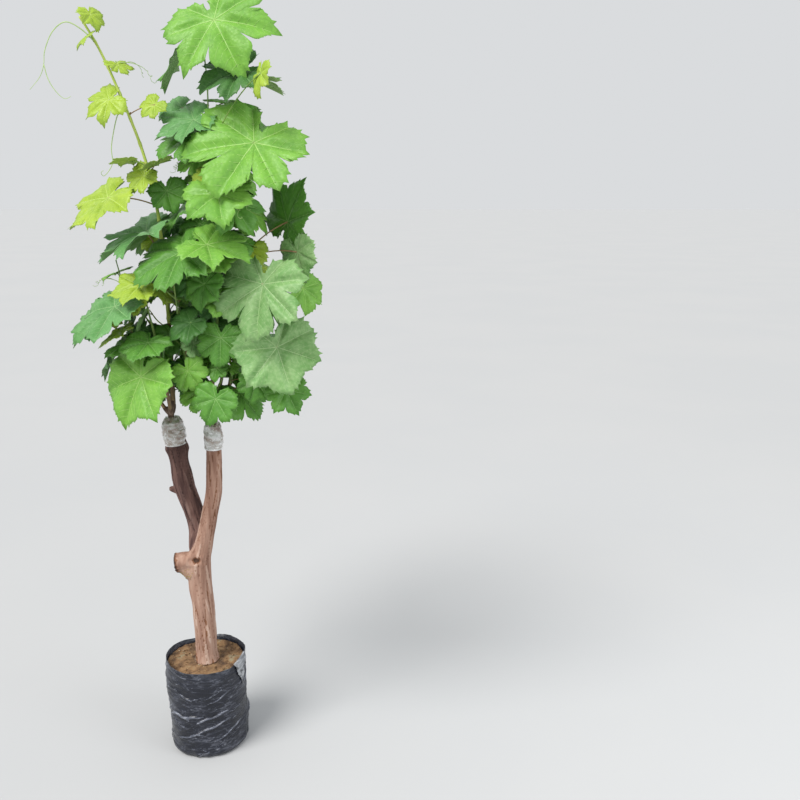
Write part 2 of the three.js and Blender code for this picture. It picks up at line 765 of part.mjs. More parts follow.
// A side shoot from a node of a cane, growing out and up
function lateralFrom(cane, distance, azimuth, seed) {
  const random = randomStream(seed);
  const turned = (azimuth + (random() - 0.5) * AZIMUTH_SPREAD) * DEGREE;
  const outward = new Vector3(Math.cos(turned), Math.sin(turned), 0);
  const length = LATERAL_LENGTH * mix(0.6, 1.1, random());
  const root = lineAt(cane.line, distance).point;
  const middle = root.clone().addScaledVector(outward, length * 0.34).addScaledVector(UP, length * 0.42);
  const tip = root.clone().addScaledVector(outward, length * 0.52).addScaledVector(UP, length * 0.9);
  const line = smoothLine([root, middle, tip].map((point) => point.toArray()));
  const lateral = {
    name: cane.name, line, start: 0, radius: LATERAL_RADIUS, row: azimuth + 90, seed,
    leaf: cane.leaf * LATERAL_LEAF_SHARE, young: 0.6, leaves: [],
  };
  lateral.organ = caneOrgan(lateral);
  return lateral;
}

function lateralsAlong(cane, organs) {
  const length = lineLength(cane.line) - cane.start;
  const laterals = [];
  let count = 0;
  for (let along = FIRST_NODE; along <= length * 0.7; along += NODE_SPACING) {
    const seed = cane.seed * 1000 + 500 + count;
    const chance = randomStream(seed + 7)();
    if (chance < cane.laterals) {
      const azimuth = cane.row + (count % 2) * 180 + 50;
      const lateral = lateralFrom(cane, cane.start + along, azimuth, seed);
      const isClear = organs.every((other) => other === cane.organ
        || !organsTouch(lateral.organ, other, LEAF_CLEARANCE));
      if (isClear) {
        organs.push(lateral.organ);
        leavesAlong(lateral, LATERAL_NODE_SPACING, LATERAL_NODE_SPACING, organs);
        laterals.push(lateral);
      }
    }
    count += 1;
  }
  return laterals;
}

function caneFrom(shoot) {
  const line = smoothLine(shoot.stations);
  const second = new Vector3(...shoot.stations[1]);
  const start = line.find((step) => step.point.distanceTo(second) < 1e-6).distance;
  const cane = { ...shoot, line, start, radius: CANE_BASE_RADIUS, leaves: [] };
  cane.organ = caneOrgan(cane);
  return cane;
}

function caneShell(cane) {
  const points = canePoints(cane, CANE_RING_SPACING);
  return tubeShell(points, (share) => caneRadius(share, cane.radius), CANE_SIDES);
}

function tendrilShells(cane) {
  const length = lineLength(cane.line) - cane.start;
  const root = lineAt(cane.line, cane.start + length * TENDRIL_ROOT).point;
  return [[root.toArray(), ...TENDRIL_STEM], TENDRIL_FORK].map((stations) => {
    const points = smoothLine(stations, 3).map(({ point }) => point);
    return tubeShell(points, (share) => mix(...TENDRIL_RADIUS, share), TENDRIL_SIDES);
  });
}

function foliageMass(cane) {
  const branches = [cane, ...cane.sideShoots];
  const shells = cane.name === 'leader_shoot' ? tendrilShells(cane) : [];
  for (const branch of branches) {
    shells.push(caneShell(branch));
    for (const pose of branch.leaves) {
      shells.push(stalkShell(pose), bladeShell(pose));
    }
  }
  return meshFromSolid(cane.name, joined(shells), 'leaf');
}

// The whole plant
function growShoots() {
  const canes = SHOOTS.map(caneFrom);
  const organs = [limbOrgan(RIGHT_LINE), limbOrgan(LEFT_LINE)];
  organs.push(...canes.map((cane) => cane.organ));
  for (const cane of canes) {
    leavesAlong(cane, NODE_SPACING, FIRST_NODE, organs);
  }
  for (const cane of canes) {
    cane.sideShoots = lateralsAlong(cane, organs);
  }
  return canes;
}

function grapevine() {
  const vine = new THREE.Group();
  const canes = growShoots();
  const onGraft = (side) => canes.filter((cane) => cane.graft === side);
  vine.add(growBag(), soil(), trunk(), leftArm(), rightArm());
  vine.add(scion('left_scion', LEFT_LINE, onGraft('left')));
  vine.add(scion('right_scion', RIGHT_LINE, onGraft('right')));
  vine.add(graftTape('left_graft_tape', LEFT_LINE, TAPE_BULGE.left));
  vine.add(graftTape('right_graft_tape', RIGHT_LINE, TAPE_BULGE.right));
  vine.add(...canes.map(foliageMass));
  return vine;
}

export default grapevine();
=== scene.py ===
# The grapevine's looks: bark, graft tape, film bag and soil, and shoots that grow by the source's rule
# with toothed leaves, veins, buds and tendrils. Shapes are worked out in millimetres, in the shared frame.

import math

import bpy
import numpy as np
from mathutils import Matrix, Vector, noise


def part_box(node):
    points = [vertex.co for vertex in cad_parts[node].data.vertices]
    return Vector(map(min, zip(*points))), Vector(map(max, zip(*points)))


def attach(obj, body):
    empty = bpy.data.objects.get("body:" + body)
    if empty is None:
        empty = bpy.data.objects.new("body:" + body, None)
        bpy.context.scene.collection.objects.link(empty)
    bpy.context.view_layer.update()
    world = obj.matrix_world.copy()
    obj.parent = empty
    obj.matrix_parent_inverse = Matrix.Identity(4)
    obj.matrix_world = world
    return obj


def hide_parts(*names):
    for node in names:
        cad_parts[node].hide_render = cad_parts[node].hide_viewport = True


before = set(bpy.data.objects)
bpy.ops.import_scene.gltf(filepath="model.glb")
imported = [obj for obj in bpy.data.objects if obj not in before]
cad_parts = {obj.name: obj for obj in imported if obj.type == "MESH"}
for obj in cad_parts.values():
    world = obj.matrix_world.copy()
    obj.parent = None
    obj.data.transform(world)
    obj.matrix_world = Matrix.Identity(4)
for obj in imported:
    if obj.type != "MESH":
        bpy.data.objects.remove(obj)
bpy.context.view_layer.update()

MM = 0.001
UP = np.array([0.0, 0.0, 1.0])

# Camera, at the photograph's place and angle
CAMERA_PLACE = (0.483, -1.9, 1.336)
CAMERA_PITCH = 14.5
CAMERA_LENS = 38.25
CAMERA_SENSOR = 36
CAMERA_SHIFT_UP = 0.02
VIEWER = np.array(CAMERA_PLACE) / MM

# Light
SUN_STRENGTH = 3.1
SUN_SPREAD = 34
SUN_COLOUR = (1, 0.98, 0.95)
SUN_TURN = (39, 0, -42)
SIDE_LIGHT_PLACE = (2.4, -1.2, 1.9)
SIDE_LIGHT_TARGET = (0, 0, 1.1)
SIDE_LIGHT_SIZE = 1.6
SIDE_LIGHT_WATTS = 22
SIDE_LIGHT_COLOUR = (0.95, 0.98, 1)
SKY_COLOUR = (0.7, 0.715, 0.73)
FLOOR_REACH = 90

# Grow bag
BAG_HEIGHT = 235
BAG_FOOT_RADIUS = 82
BAG_CORNER_HEIGHT = 16
BAG_BELLY_RADIUS = 94
BAG_RIM_RADIUS = 96
BAG_RIM_WAVE = 5
BAG_DENT = 1.6
BAG_FLOOR = 3
FILM_THICKNESS = 1.0
BAG_SIDES = 400
BAG_BANDS = 140
CREASES = 430
CREASE_HEIGHT = 2.8
CREASE_WIDTH = 1.35
CREASE_SEED = 515
CREASE_LENGTH = (0.1, 0.75)
CREASE_SLOPE = (-38, 70)
CREASE_SAG = (-34, 34)
CREASE_STRENGTH = (0.15, 0.85)
CREASE_WIDENING = (0.8, 2.6)
GLINT_AND_SCUFF_FROM = 0.46
BAG_INNER_BANDS = 14
FLAP_ANGLES = (-33, 0)
FLAP_ROWS = 40
FLAP_TIP = 0.42
FLAP_DROP = 14
FLAP_TIP_DROP = 60

# Main creases: angle and height of the middle, half length in radians, slope, sag, strength and width
MAIN_CREASES = [
    (-1.95, 114, 0.6, 3, 14, 1.7, 3.2), (-1.28, 112, 0.6, 26, -8, 1.6, 3), (-1.3, 84, 0.7, 34, 0, 1.6, 2.8),
    (-2.0, 168, 0.4, -44, 0, 1.2, 2.2), (-1.1, 160, 0.45, 42, 10, 1.3, 2.4),
    (-1.85, 62, 0.5, 24, -20, 1.2, 2.2), (-0.9, 60, 0.6, 40, 0, 1.5, 2.6),
    (-2.2, 92, 0.4, -30, 10, 1.2, 2.2), (1.2, 120, 0.6, 20, 0, 1.6, 3), (2.4, 90, 0.6, -20, 10, 1.5, 2.8),
    (0.4, 80, 0.6, 24, 0, 1.5, 2.8),
]

# Soil
SOIL_LEVEL = 220
SOIL_EDGE_LEVEL = 216
SOIL_LUMP = 2
SOIL_FLAT_RADIUS = 44
SOIL_SIDES = 120
SOIL_RINGS = 34
CRUMBS = 340
CRUMB_SIZE = (0.8, 3.6)
CRUMB_SEED = 626
SOIL_WALL_LEVELS = (8, 60, 110, 160, 205)
SOIL_WALL_GAP = 9
SOIL_ROUGHNESS = 2.2
SOIL_GRAIN = 1.1

# Small clods, of soil and lichen: height and width of their rings, and ranges of their shape
LUMP_RINGS = ((-0.8, 0.5), (-0.25, 0.95), (0.35, 0.9), (0.85, 0.45))
LUMP_SIDES = 7
LUMP_STRETCH = ((0.7, 1.3), (0.7, 1.3), (0.5, 0.9))
LUMP_REACH = (0.75, 1.2)

# Wood: stations of x, y, z and radius
RIGHT_LIMB = [
    (3, 0, 220.3, 31), (3, 0, 240, 26.5), (3, 0, 275, 25), (1.5, 0, 364, 26.5), (-3, 0, 430, 27.5),
    (-2, 0, 482, 28), (11, 0, 524, 22), (29, 0, 599, 18.5), (43, 0, 660, 18.3), (48, 0, 740, 17.6),
    (49, 0, 822, 17.2),
]
LEFT_LIMB = [
    (-2, 4, 474, 22), (-5, 24, 508, 24), (-9, 41, 550, 22.5), (-21, 47, 600, 22.5), (-38, 47, 660, 24),
    (-47, 43, 740, 22.5), (-55, 39, 822, 22),
]
SAWN_STUB = [(0, 0, 480, 20), (-30, -4, 484, 23.5), (-57, -7, 481, 22.5)]
STUB_SHOULDER = [(2, 0, 432, 23), (-16, -4, 456, 22), (-37, -6, 476, 20)]
PRUNED_SPUR = [(-38, 44, 640, 7), (-58, 38, 650, 7.5), (-71, 35, 656, 5)]
FORK_PLACE = (2, 4, 486)
FORK_COLLAR_TOP = 548
FORK_REACH = 36
WOOD_SMOOTHING = 0.12
FORK_SMOOTHING = 0.8
SPUR_SMOOTHING = 0.5
TRUNK_FOOT_LEVEL = 212
WOOD_RING_SPACING = 26
WOOD_VOXEL = 1.9
KNOT_PLACE = (-5, -27, 495)
KNOT_RADIUS = 9
KNOT_STRETCH = (1.25, 1, 0.85)
KNOT_DEPTH = 6
SHOULDER_UNDER_TAPE = (68, 3.2, 13)
WAIST_UNDER_TAPE = (106, 2.2, 22)
LICHEN_PLACE = (-27, -14, 458)
LICHEN_REACH = 19
LICHEN_LUMPS = 70
LICHEN_SIZE = (0.5, 1.5)
LICHEN_SEED = 404

# Grafts
TAPE_LENGTH = 56
TAPE_THICKNESS = 1.8
TAPE_CAP_RISE = 12
TAPE_BULGE = {"left": 3.6, "right": 2.8}
TAPE_SEED = {"left": 2.5, "right": 8.5}
TAPE_SIDES = 140
TAPE_TURN = 19
SCION_RADIUS = 7
SCION_LENGTH = 38
SPUR_RADIUS = 5.2
SCION_VOXEL = 1.2
SCION_PROFILE = (1, 1.05, 0.8)
SPUR_PROFILE = (1, 1, 0.97, 1.04, 1.02, 0.85)
GAP = 0.3

# Shoots: stations of x, y, z, starting inside the scion; row is the compass angle of the two rows of
# leaves in degrees, leaf the midrib of a full leaf, and young the share of the cane after which the
# leaves get smaller. colours are the shares of bright, mid and dark leaves, and of bluish_sheen or pale
# ones, whose greens paint a sheen.
SHOOTS = [
    dict(name="leader_shoot", graft="left", seed=11, row=188, leaf=100, young=0.5, fill=0.42,
         colours=(0.3, 0.45, 0.15, 0.1),
         stations=[(-53, 37, 850), (-50, 34, 874), (-41, 22, 1000), (-40, 8, 1150), (-43, 2, 1290),
                   (-62, 0, 1409), (-97, 0, 1520), (-140, 0, 1628), (-176, -2, 1694)]),
    dict(name="left_outer_shoot", graft="left", seed=22, row=215, leaf=104, young=0.8,
         colours=(0.2, 0.3, 0.1, 0.4),
         stations=[(-55, 39, 838), (-69, 34, 856), (-102, 18, 930), (-122, 4, 1040), (-130, 0, 1130),
                   (-142, -4, 1200)]),
    dict(name="left_front_shoot", graft="left", seed=88, row=240, leaf=104, young=0.8,
         colours=(0.7, 0.25, 0.05, 0),
         stations=[(-54, 38, 836), (-53, 24, 856), (-50, -12, 930), (-56, -36, 1020), (-70, -44, 1110),
                   (-80, -42, 1180)]),
    dict(name="left_back_shoot", graft="left", seed=33, row=120, leaf=98, young=0.75,
         colours=(0.1, 0.45, 0.35, 0.1),
         stations=[(-54, 40, 840), (-52, 54, 858), (-60, 86, 940), (-62, 102, 1060), (-58, 104, 1180),
                   (-70, 98, 1300)]),
    dict(name="right_tall_shoot", graft="right", seed=44, row=20, leaf=110, young=0.9,
         colours=(0.45, 0.3, 0.2, 0.05),
         stations=[(49, 0, 850), (51, 1, 874), (58, 12, 1000), (62, 16, 1150), (68, 12, 1300),
                   (74, 4, 1440), (80, -6, 1560), (76, -10, 1640)]),
    dict(name="upper_front_shoot", graft="right", seed=99, row=250, leaf=116, young=1,
         colours=(0.6, 0.3, 0.1, 0),
         stations=[(49, -2, 846), (52, -16, 866), (68, -44, 960), (88, -58, 1100), (102, -60, 1240),
                   (112, -58, 1380), (110, -54, 1470)]),
    dict(name="right_outer_shoot", graft="right", seed=55, row=-30, leaf=100, young=0.8,
         colours=(0.15, 0.3, 0.15, 0.4),
         stations=[(50, 0, 838), (64, -4, 854), (98, -14, 930), (120, -18, 1040), (132, -16, 1140),
                   (146, -12, 1220)]),
    dict(name="right_back_shoot", graft="right", seed=66, row=70, leaf=98, young=0.75,
         colours=(0.1, 0.4, 0.4, 0.1),
         stations=[(50, 1, 838), (53, 15, 856), (68, 58, 940), (82, 86, 1050), (86, 94, 1160),
                   (80, 96, 1250)]),
    dict(name="front_shoot", graft="right", seed=77, row=255, leaf=100, young=0.8,
         colours=(0.35, 0.4, 0.2, 0.05),
         stations=[(48, -1, 838), (42, -14, 856), (22, -44, 930), (6, -60, 1030), (0, -64, 1120),
                   (-6, -62, 1190)]),
]
LATERALS = 0.65
CANE_BASE_RADIUS = 4.4
CANE_STEP = 30
NODE_SPACING = 54
FIRST_NODE = 34
LATERAL_LENGTH = 150
LATERAL_RADIUS = 2.4
LATERAL_NODE_SPACING = 42
LATERAL_LEAF_SHARE = 0.68
LATERAL_END = 0.7
LATERAL_TURN = 50
LATERAL_BENDS = ((0.34, 0.42), (0.52, 0.9))
SIDE_SHOOT_STRETCH = (0.6, 1.1)
SIDE_SHOOT_YOUNG = 0.6

# Tendrils: stations of the three that the photograph shows, and for each of the others its shoot, its
# place along the cane, compass angle, length and rise in radians
TENDRIL_ROOT = 0.93
TENDRIL_STEM = [
    (-172, -8, 1668), (-203, -10, 1682), (-232, -9, 1664), (-252, -8, 1628), (-257, -8, 1601),
    (-268, -7, 1577), (-292, -6, 1552),
]
TENDRIL_FORK = [
    (-257, -8, 1601), (-250, -10, 1572), (-236, -11, 1548), (-220, -11, 1534), (-206, -10, 1538),
]
HANGING_TENDRIL = [
    (-99, -1, 1526), (-112, -9, 1500), (-122, -11, 1468), (-130, -10, 1434), (-130, -8, 1407),
    (-139, -7, 1390), (-151, -8, 1378), (-156, -11, 1384), (-150, -13, 1389),
]
TENDRILS = [
    ("leader_shoot", 736, 20, 110, 0.6), ("right_tall_shoot", 520, 160, 110, 0.8),
    ("right_tall_shoot", 682, 20, 110, 0.9), ("left_outer_shoot", 300, 200, 70, 0.9),
    ("upper_front_shoot", 466, 300, 130, 0.6), ("right_outer_shoot", 304, -20, 110, 0.7),
    ("left_back_shoot", 358, 120, 130, 0.6), ("right_back_shoot", 304, 60, 120, 0.6),
]

# Leaf: outline as angle from the midrib and radius as a share of the midrib, for one half
LEAF_OUTLINE = [
    (0, 1), (14, 0.86), (30, 0.53), (42, 0.83), (54, 0.93), (77, 0.6), (100, 0.76), (140, 0.56),
    (174, 0.12),
]
SINUSES = (30, 77)
PETIOLE_RADIUS = 1.9
PETIOLE_STEPS = 2

# How leaves hang: ranges that the seeded draws pick from
AZIMUTH_SPREAD = 75
PETIOLE_RISE = (5, 50)
PETIOLE_SHARE = (0.55, 0.95)
KNEE_SHARE = 0.45
KNEE_LIFT = 0.16
BLADE_DROOP = (30, 80)
BLADE_ROLL = (-28, 28)
BLADE_CURL = (0.06, 0.26)
BLADE_FOLD = (0.02, 0.16)
SINUS_DEPTH = (0.82, 1.15)
LIGHT = np.array([-0.25, -0.75, 0.6])
LIGHT_PULL = 0.7
LEAF_TRIES = 14
TRY_SHRINK = 0.025
LEAF_CLEARANCE = 5.5
CROWN_FLOOR = 800
LEADER = "leader_shoot"
LOW_LEAF_SHARE = 0.78
LOW_STRETCH = 0.25
YOUNG_LEAF_SHARE = 0.34
LEADER_YOUNG_FROM = 1330
LEADER_LEFT = -195
YOUNG_STRETCH = 0.2

# Finer twigs and their leaves, which the solids do without
FINE_CLEARANCE = 2.2
FINE_REACH = 6
FINE_LENGTH = 95
FINE_RADIUS = 1.7
FINE_TWIG_LEAF = 70
FINE_SPACING = 25
FINE_END = 0.9
FINE_BENDS = ((0.4, 0.35), (0.65, 0.75))
GOLDEN_TURN = 137.5
FILL_LEAF = 72
FILL_STRETCH = (0.7, 1.15)
FILL_SPACING = 17
FILL_END = 0.86

# Fine shape of a blade: outlines of a deeply lobed leaf and a nearly whole one, and the teeth as
# angle of a lobe's tip, angle where its teeth end, and their number
LOBED = [
    (0, 1), (6, 0.97), (14, 0.91), (21, 0.86), (25, 0.82), (27.4, 0.76), (28.8, 0.6), (30, 0.46),
    (31.2, 0.6), (32.6, 0.77), (35, 0.84), (41, 0.89), (48, 0.95), (54, 0.97), (60, 0.94),
    (67, 0.86), (72, 0.8), (74.6, 0.74), (76, 0.62), (77, 0.52), (78, 0.62), (79.4, 0.74),
    (82, 0.79), (90, 0.82), (100, 0.83), (111, 0.8), (123, 0.74),
    (136, 0.65), (150, 0.54), (162, 0.42), (173, 0.2),
]
WHOLE = [
    (0, 1), (8, 0.95), (18, 0.88), (30, 0.83), (42, 0.88), (54, 0.94), (65, 0.88), (77, 0.82),
    (90, 0.84), (100, 0.86), (115, 0.81), (130, 0.74), (145, 0.65), (160, 0.5), (173, 0.22),
]
LOBING = (0.05, 1.05)
TEETH = [(0, 26, 4), (54, 34, 3), (54, 74, 3), (100, 80, 3), (100, 173, 8)]
TOOTH_DEPTH = 0.11
TOOTH_MEAN = 0.4
FINE_TOOTH = [(0, 1), (0.35, 0.62), (0.78, 0), (0.9, 0.5)]
PLAIN_TOOTH = [(0, 1), (0.75, 0)]
FINE_SLOTS = (27.4, 28.8, 30, 31.2, 32.6, 74.6, 76, 77, 78, 79.4)
PLAIN_SLOTS = (28.2, 30, 31.8, 75.6, 77, 78.4)
FINE_RINGS = (0.15, 0.36, 0.56, 0.75, 0.9, 1)
PLAIN_RINGS = (0.4, 0.8, 1)
FINE_LEAF_SIZE = 90
FINE_SHOWN_SIZE = 60
MAIN_VEINS = (0, 53, -53, 100, -100, 146, -146)
SIDE_VEIN_STEPS = 40
SIDE_VEIN_STEP = 0.018
SIDE_VEIN_SPREAD = math.radians(25)
VEIN_GROOVE = 0.065
PUCKER = 0.07
MARGIN_WAVE = 0.075
WAVE_STRETCH = (0.5, 1.2)
SKEW = (-0.05, 0.05)
BLISTER_HEIGHT = 0.011
SWAY = 0.03
BLADE_THICKNESS = (0.9, 0.5)
VEIN_RADIUS = 1.0
SIDE_VEIN_RADIUS = 0.42
VEIN_RAISE = 0.3

# Leaves that the photograph shows plainly, hung one by one: the blade's heart and tip, its turn about
# the midrib in degrees, how deeply it is lobed from 0 to 1, and its colour
SHOWN_LEAVES = [
    ((186, -85, 1441), (119, -160, 1340), 4, 1.0, "bright"),
    ((110, -50, 1678), (165, -112, 1583), -2, 0.8, "bright"),
    ((159, -60, 1581), (77, -78, 1551), -8, 0.6, "dark"),
    ((209, -108, 1571), (199, -116, 1528), -44, 0.3, "young"),
    ((53, -28, 1490), (-20, -52, 1455), -20, 0.7, "bluish_sheen"),
    ((50, -4, 1466), (-33, -30, 1422), -24, 0.7, "mid"),
    ((11, 48, 1521), (-35, 25, 1495), -18, 0.5, "bluish_sheen"),
    ((-31, -10, 1521), (-59, -20, 1497), -5, 0.3, "young"),
    ((-125, -14, 1531), (-176, -26, 1504), -5, 0.8, "young"),
    ((-95, -14, 1408), (-132, -20, 1404), -62, 0.2, "young"),
    ((-41, -14, 1398), (1, -22, 1416), 52, 0.3, "young"),
    ((-143, -18, 1332), (-223, -44, 1277), -26, 0.3, "young"),
    ((-63, -16, 1378), (-95, -26, 1343), -10, 0.5, "young"),
    ((-17, -12, 1347), (-5, -22, 1301), 10, 0.2, "mid"),
    ((-67, -18, 1261), (-168, -46, 1209), -38, 0.95, "bluish_sheen"),
    ((29, -92, 1225), (-75, -120, 1174), -24, 0.6, "mid"),
    ((82, -100, 1238), (168, -122, 1215), 30, 0.5, "bright"),
    ((-74, -66, 1150), (-137, -80, 1136), -22, 0.3, "young"),
    ((-134, -60, 1104), (-223, -86, 1045), -30, 0.8, "bluish_sheen"),
    ((-127, -56, 1049), (-176, -64, 1024), -44, 0.2, "young"),
    ((37, -94, 1074), (-7, -106, 1044), -12, 0.3, "dark"),
    ((197, -115, 1158), (177, -158, 1050), -10, 1.05, "pale"),
    ((218, -90, 1021), (251, -122, 927), 8, 0.1, "pale"),
    ((-77, -98, 957), (-123, -118, 857), -14, 0.08, "bright"),
    ((-57, -98, 1032), (-76, -152, 1004), -4, 0.1, "mid"),
    ((-115, -66, 1019), (-162, -74, 1003), -38, 0.2, "mid"),
    ((100, -96, 1042), (95, -110, 982), 2, 0.5, "mid"),
    ((21, -84, 968), (47, -92, 927), -15, 0.4, "bright"),
    ((83, -104, 910), (62, -118, 857), 10, 0.5, "mid"),
    ((165, -66, 939), (152, -75, 894), 25, 0.3, "mid"),
    ((232, -72, 922), (259, -90, 875), 15, 0.4, "mid"),
    ((274, -60, 1145), (285, -72, 1090), 50, 0.3, "bright"),
    ((264, -64, 1221), (279, -76, 1159), -42, 0.1, "pale"),
    ((241, -20, 1282), (272, -42, 1369), 24, 0.25, "mid"),
]
SHOWN_STEPS = (0, 8, -8, 16, -16, 26, -26, 38, 50)
SHOWN_CLEARANCE = 2.5
SHOWN_CURL = (0.06, 0.2)
SHOWN_REACH = 0.68
SHOWN_MIDDLE = 0.12
SHOWN_STALK = 0.6
SHOWN_KNEE_LIFT = 0.14
ROOT_STEP = 12.0
ROOT_BELOW_HEART = 15
HIGH_ROOT_COST = 0.8
SHOWN_SEED = 9000
FACING = np.array([-0.12, -0.8, 0.6])

# Places that stay open to the photograph's view, with their radius
SEEN_PLACES = [
    ((-56, 39, 818), 46), ((49, 0, 800), 30), ((-292, 150, 930), 44), ((-100, 150, 1056), 24),
    ((-114, 150, 1470), 34),
]

# How leaves and canes are dressed
DRESS_SEED = 7000
YOUNG_BELOW = 75
YOUNG_AFTER = 0.8
YOUNG_CHANCE = 0.75
BLUISH_SHEEN_CHANCE = 0.65
PINK_STALKS = 0.35
WOODY_SHARE = 0.22
NODE_SWELL = 0.3
NODE_SWELL_REACH = 4
LEADER_RADII = (4.9, 2.4)
FINE_TIP_RADIUS = 1.12
CANE_SIDES = 12
TWIG_SIDES = 8
BUD_LENGTH = 7
BUD_RADII = (1.2, 2.1, 2.3, 1.9, 1.1, 0.2)
TENDRIL_SAG = 1.7
COIL_FROM = 0.62
COIL_TURNS = 3

# Colours: of a leaf's face, the darker green of its patches and of the painted shade between its pillows,
# and its underside, and of its veins
LEAF_COLOURS = {
    "young": ((0.36, 0.5, 0.045), (0.27, 0.41, 0.04), (0.39, 0.52, 0.13)),
    "bright": ((0.2, 0.44, 0.062), (0.135, 0.335, 0.045), (0.29, 0.45, 0.15)),
    "mid": ((0.115, 0.305, 0.042), (0.078, 0.23, 0.032), (0.21, 0.37, 0.13)),
    "dark": ((0.075, 0.205, 0.042), (0.042, 0.135, 0.028), (0.16, 0.31, 0.12)),
    # bluish_sheen and pale: greens that paint the sky's sheen on waxy leaves; the pale ones are partly also
    # whitish dust
    "bluish_sheen": ((0.135, 0.335, 0.1), (0.098, 0.265, 0.076), (0.22, 0.38, 0.17)),
    "pale": ((0.27, 0.44, 0.18), (0.125, 0.295, 0.075), (0.31, 0.45, 0.24)),
}
VEIN_COLOURS = {
    "young": ((0.5, 0.65, 0.15), (0.57, 0.71, 0.22)), "bright": ((0.34, 0.58, 0.15), (0.42, 0.64, 0.2)),
    "mid": ((0.23, 0.45, 0.12), (0.3, 0.52, 0.17)), "dark": ((0.15, 0.32, 0.1), (0.21, 0.39, 0.14)),
    "bluish_sheen": ((0.25, 0.47, 0.18), (0.33, 0.53, 0.24)), "pale": ((0.36, 0.55, 0.24), (0.44, 0.62, 0.31)),
}
VEIN_GRAIN = ((60, 60, 60), (0.5, 0.65), ((500, 500, 500), 0.2, 0.0004))
PILLOW_SCALE = 150
PILLOW_DEPTH = 0.0012
PATCH_SCALE = (22, 22, 22)

# Bark: marks of its tones, and the dark, middle and light colour of each
PLAIN, CRACK, CREST, KNOT, SAWN = range(5)
RIGHT_BARK = {
    "bark": ((0.23, 0.118, 0.08), (0.36, 0.213, 0.155), (0.49, 0.33, 0.256)),
    "bark_crack": ((0.12, 0.043, 0.019), (0.2, 0.085, 0.04), (0.3, 0.147, 0.08)),
    "bark_crest": ((0.34, 0.205, 0.15), (0.47, 0.32, 0.25), (0.59, 0.45, 0.37)),
    "knot_bark": ((0.03, 0.013, 0.008), (0.07, 0.032, 0.019), (0.15, 0.075, 0.045)),
}
# Left arm's bark: darker colours that paint the shade the arm stands in
SHADED_LEFT_BARK = {
    "dark_bark": ((0.07, 0.034, 0.029), (0.15, 0.08, 0.066), (0.25, 0.148, 0.12)),
    "painted_shade_bark_crack": ((0.03, 0.014, 0.012), (0.06, 0.028, 0.023), (0.1, 0.05, 0.04)),
    "painted_shade_bark_crest": ((0.11, 0.06, 0.051), (0.2, 0.12, 0.1), (0.29, 0.19, 0.16)),
}
BARK_STOPS = (0.3, 0.5, 0.72)
BARK_GRAIN = ((75, 75, 8), (0.82, 0.95), ((330, 330, 36), 0.75, 0.0018))
# Painted shade on the bark: its tone sinks with height, darker up under the crown
BARK_SHADE_FALL = (0.36, 0.42)

# Tape: tones of the plain film and of its folds, whose white is partly the folded film's own and partly
# painted glints
TAPE_COLOURS = {
    "tape": ((0.17, 0.11, 0.08), (0.3, 0.24, 0.2), (0.42, 0.4, 0.37), (0.6, 0.6, 0.59)),
    "tape_fold_glint": ((0.4, 0.38, 0.36), (0.55, 0.54, 0.53), (0.68, 0.68, 0.68), (0.85, 0.85, 0.85)),
}
TAPE_STOPS = (0.36, 0.44, 0.52, 0.62)
TAPE_GRAIN = ((34, 34, 58), (0.1, 0.28), ((55, 55, 80), 0.4, 0.0014))
TAPE_GLOSS = {"Coat Weight": 0.9, "Coat Roughness": 0.06, "Specular IOR Level": 0.7}

# Bag film: its dark, the light colour of its painted glints along wrinkles over dust, how far these spread,
# and its gloss
FILMS = {
    "film": ((0.01, 0.0125, 0.023), (0.14, 0.15, 0.185), 0.02, 0.26),
    # Lighter film for crease crests: partly scuffs, partly painted glints
    "scuffed_glint_film": ((0.1, 0.11, 0.145), (0.42, 0.44, 0.49), 0.03, 0.32),
    "flap_film": ((0.25, 0.26, 0.28), (0.58, 0.6, 0.62), 0.05, 0.36),
}

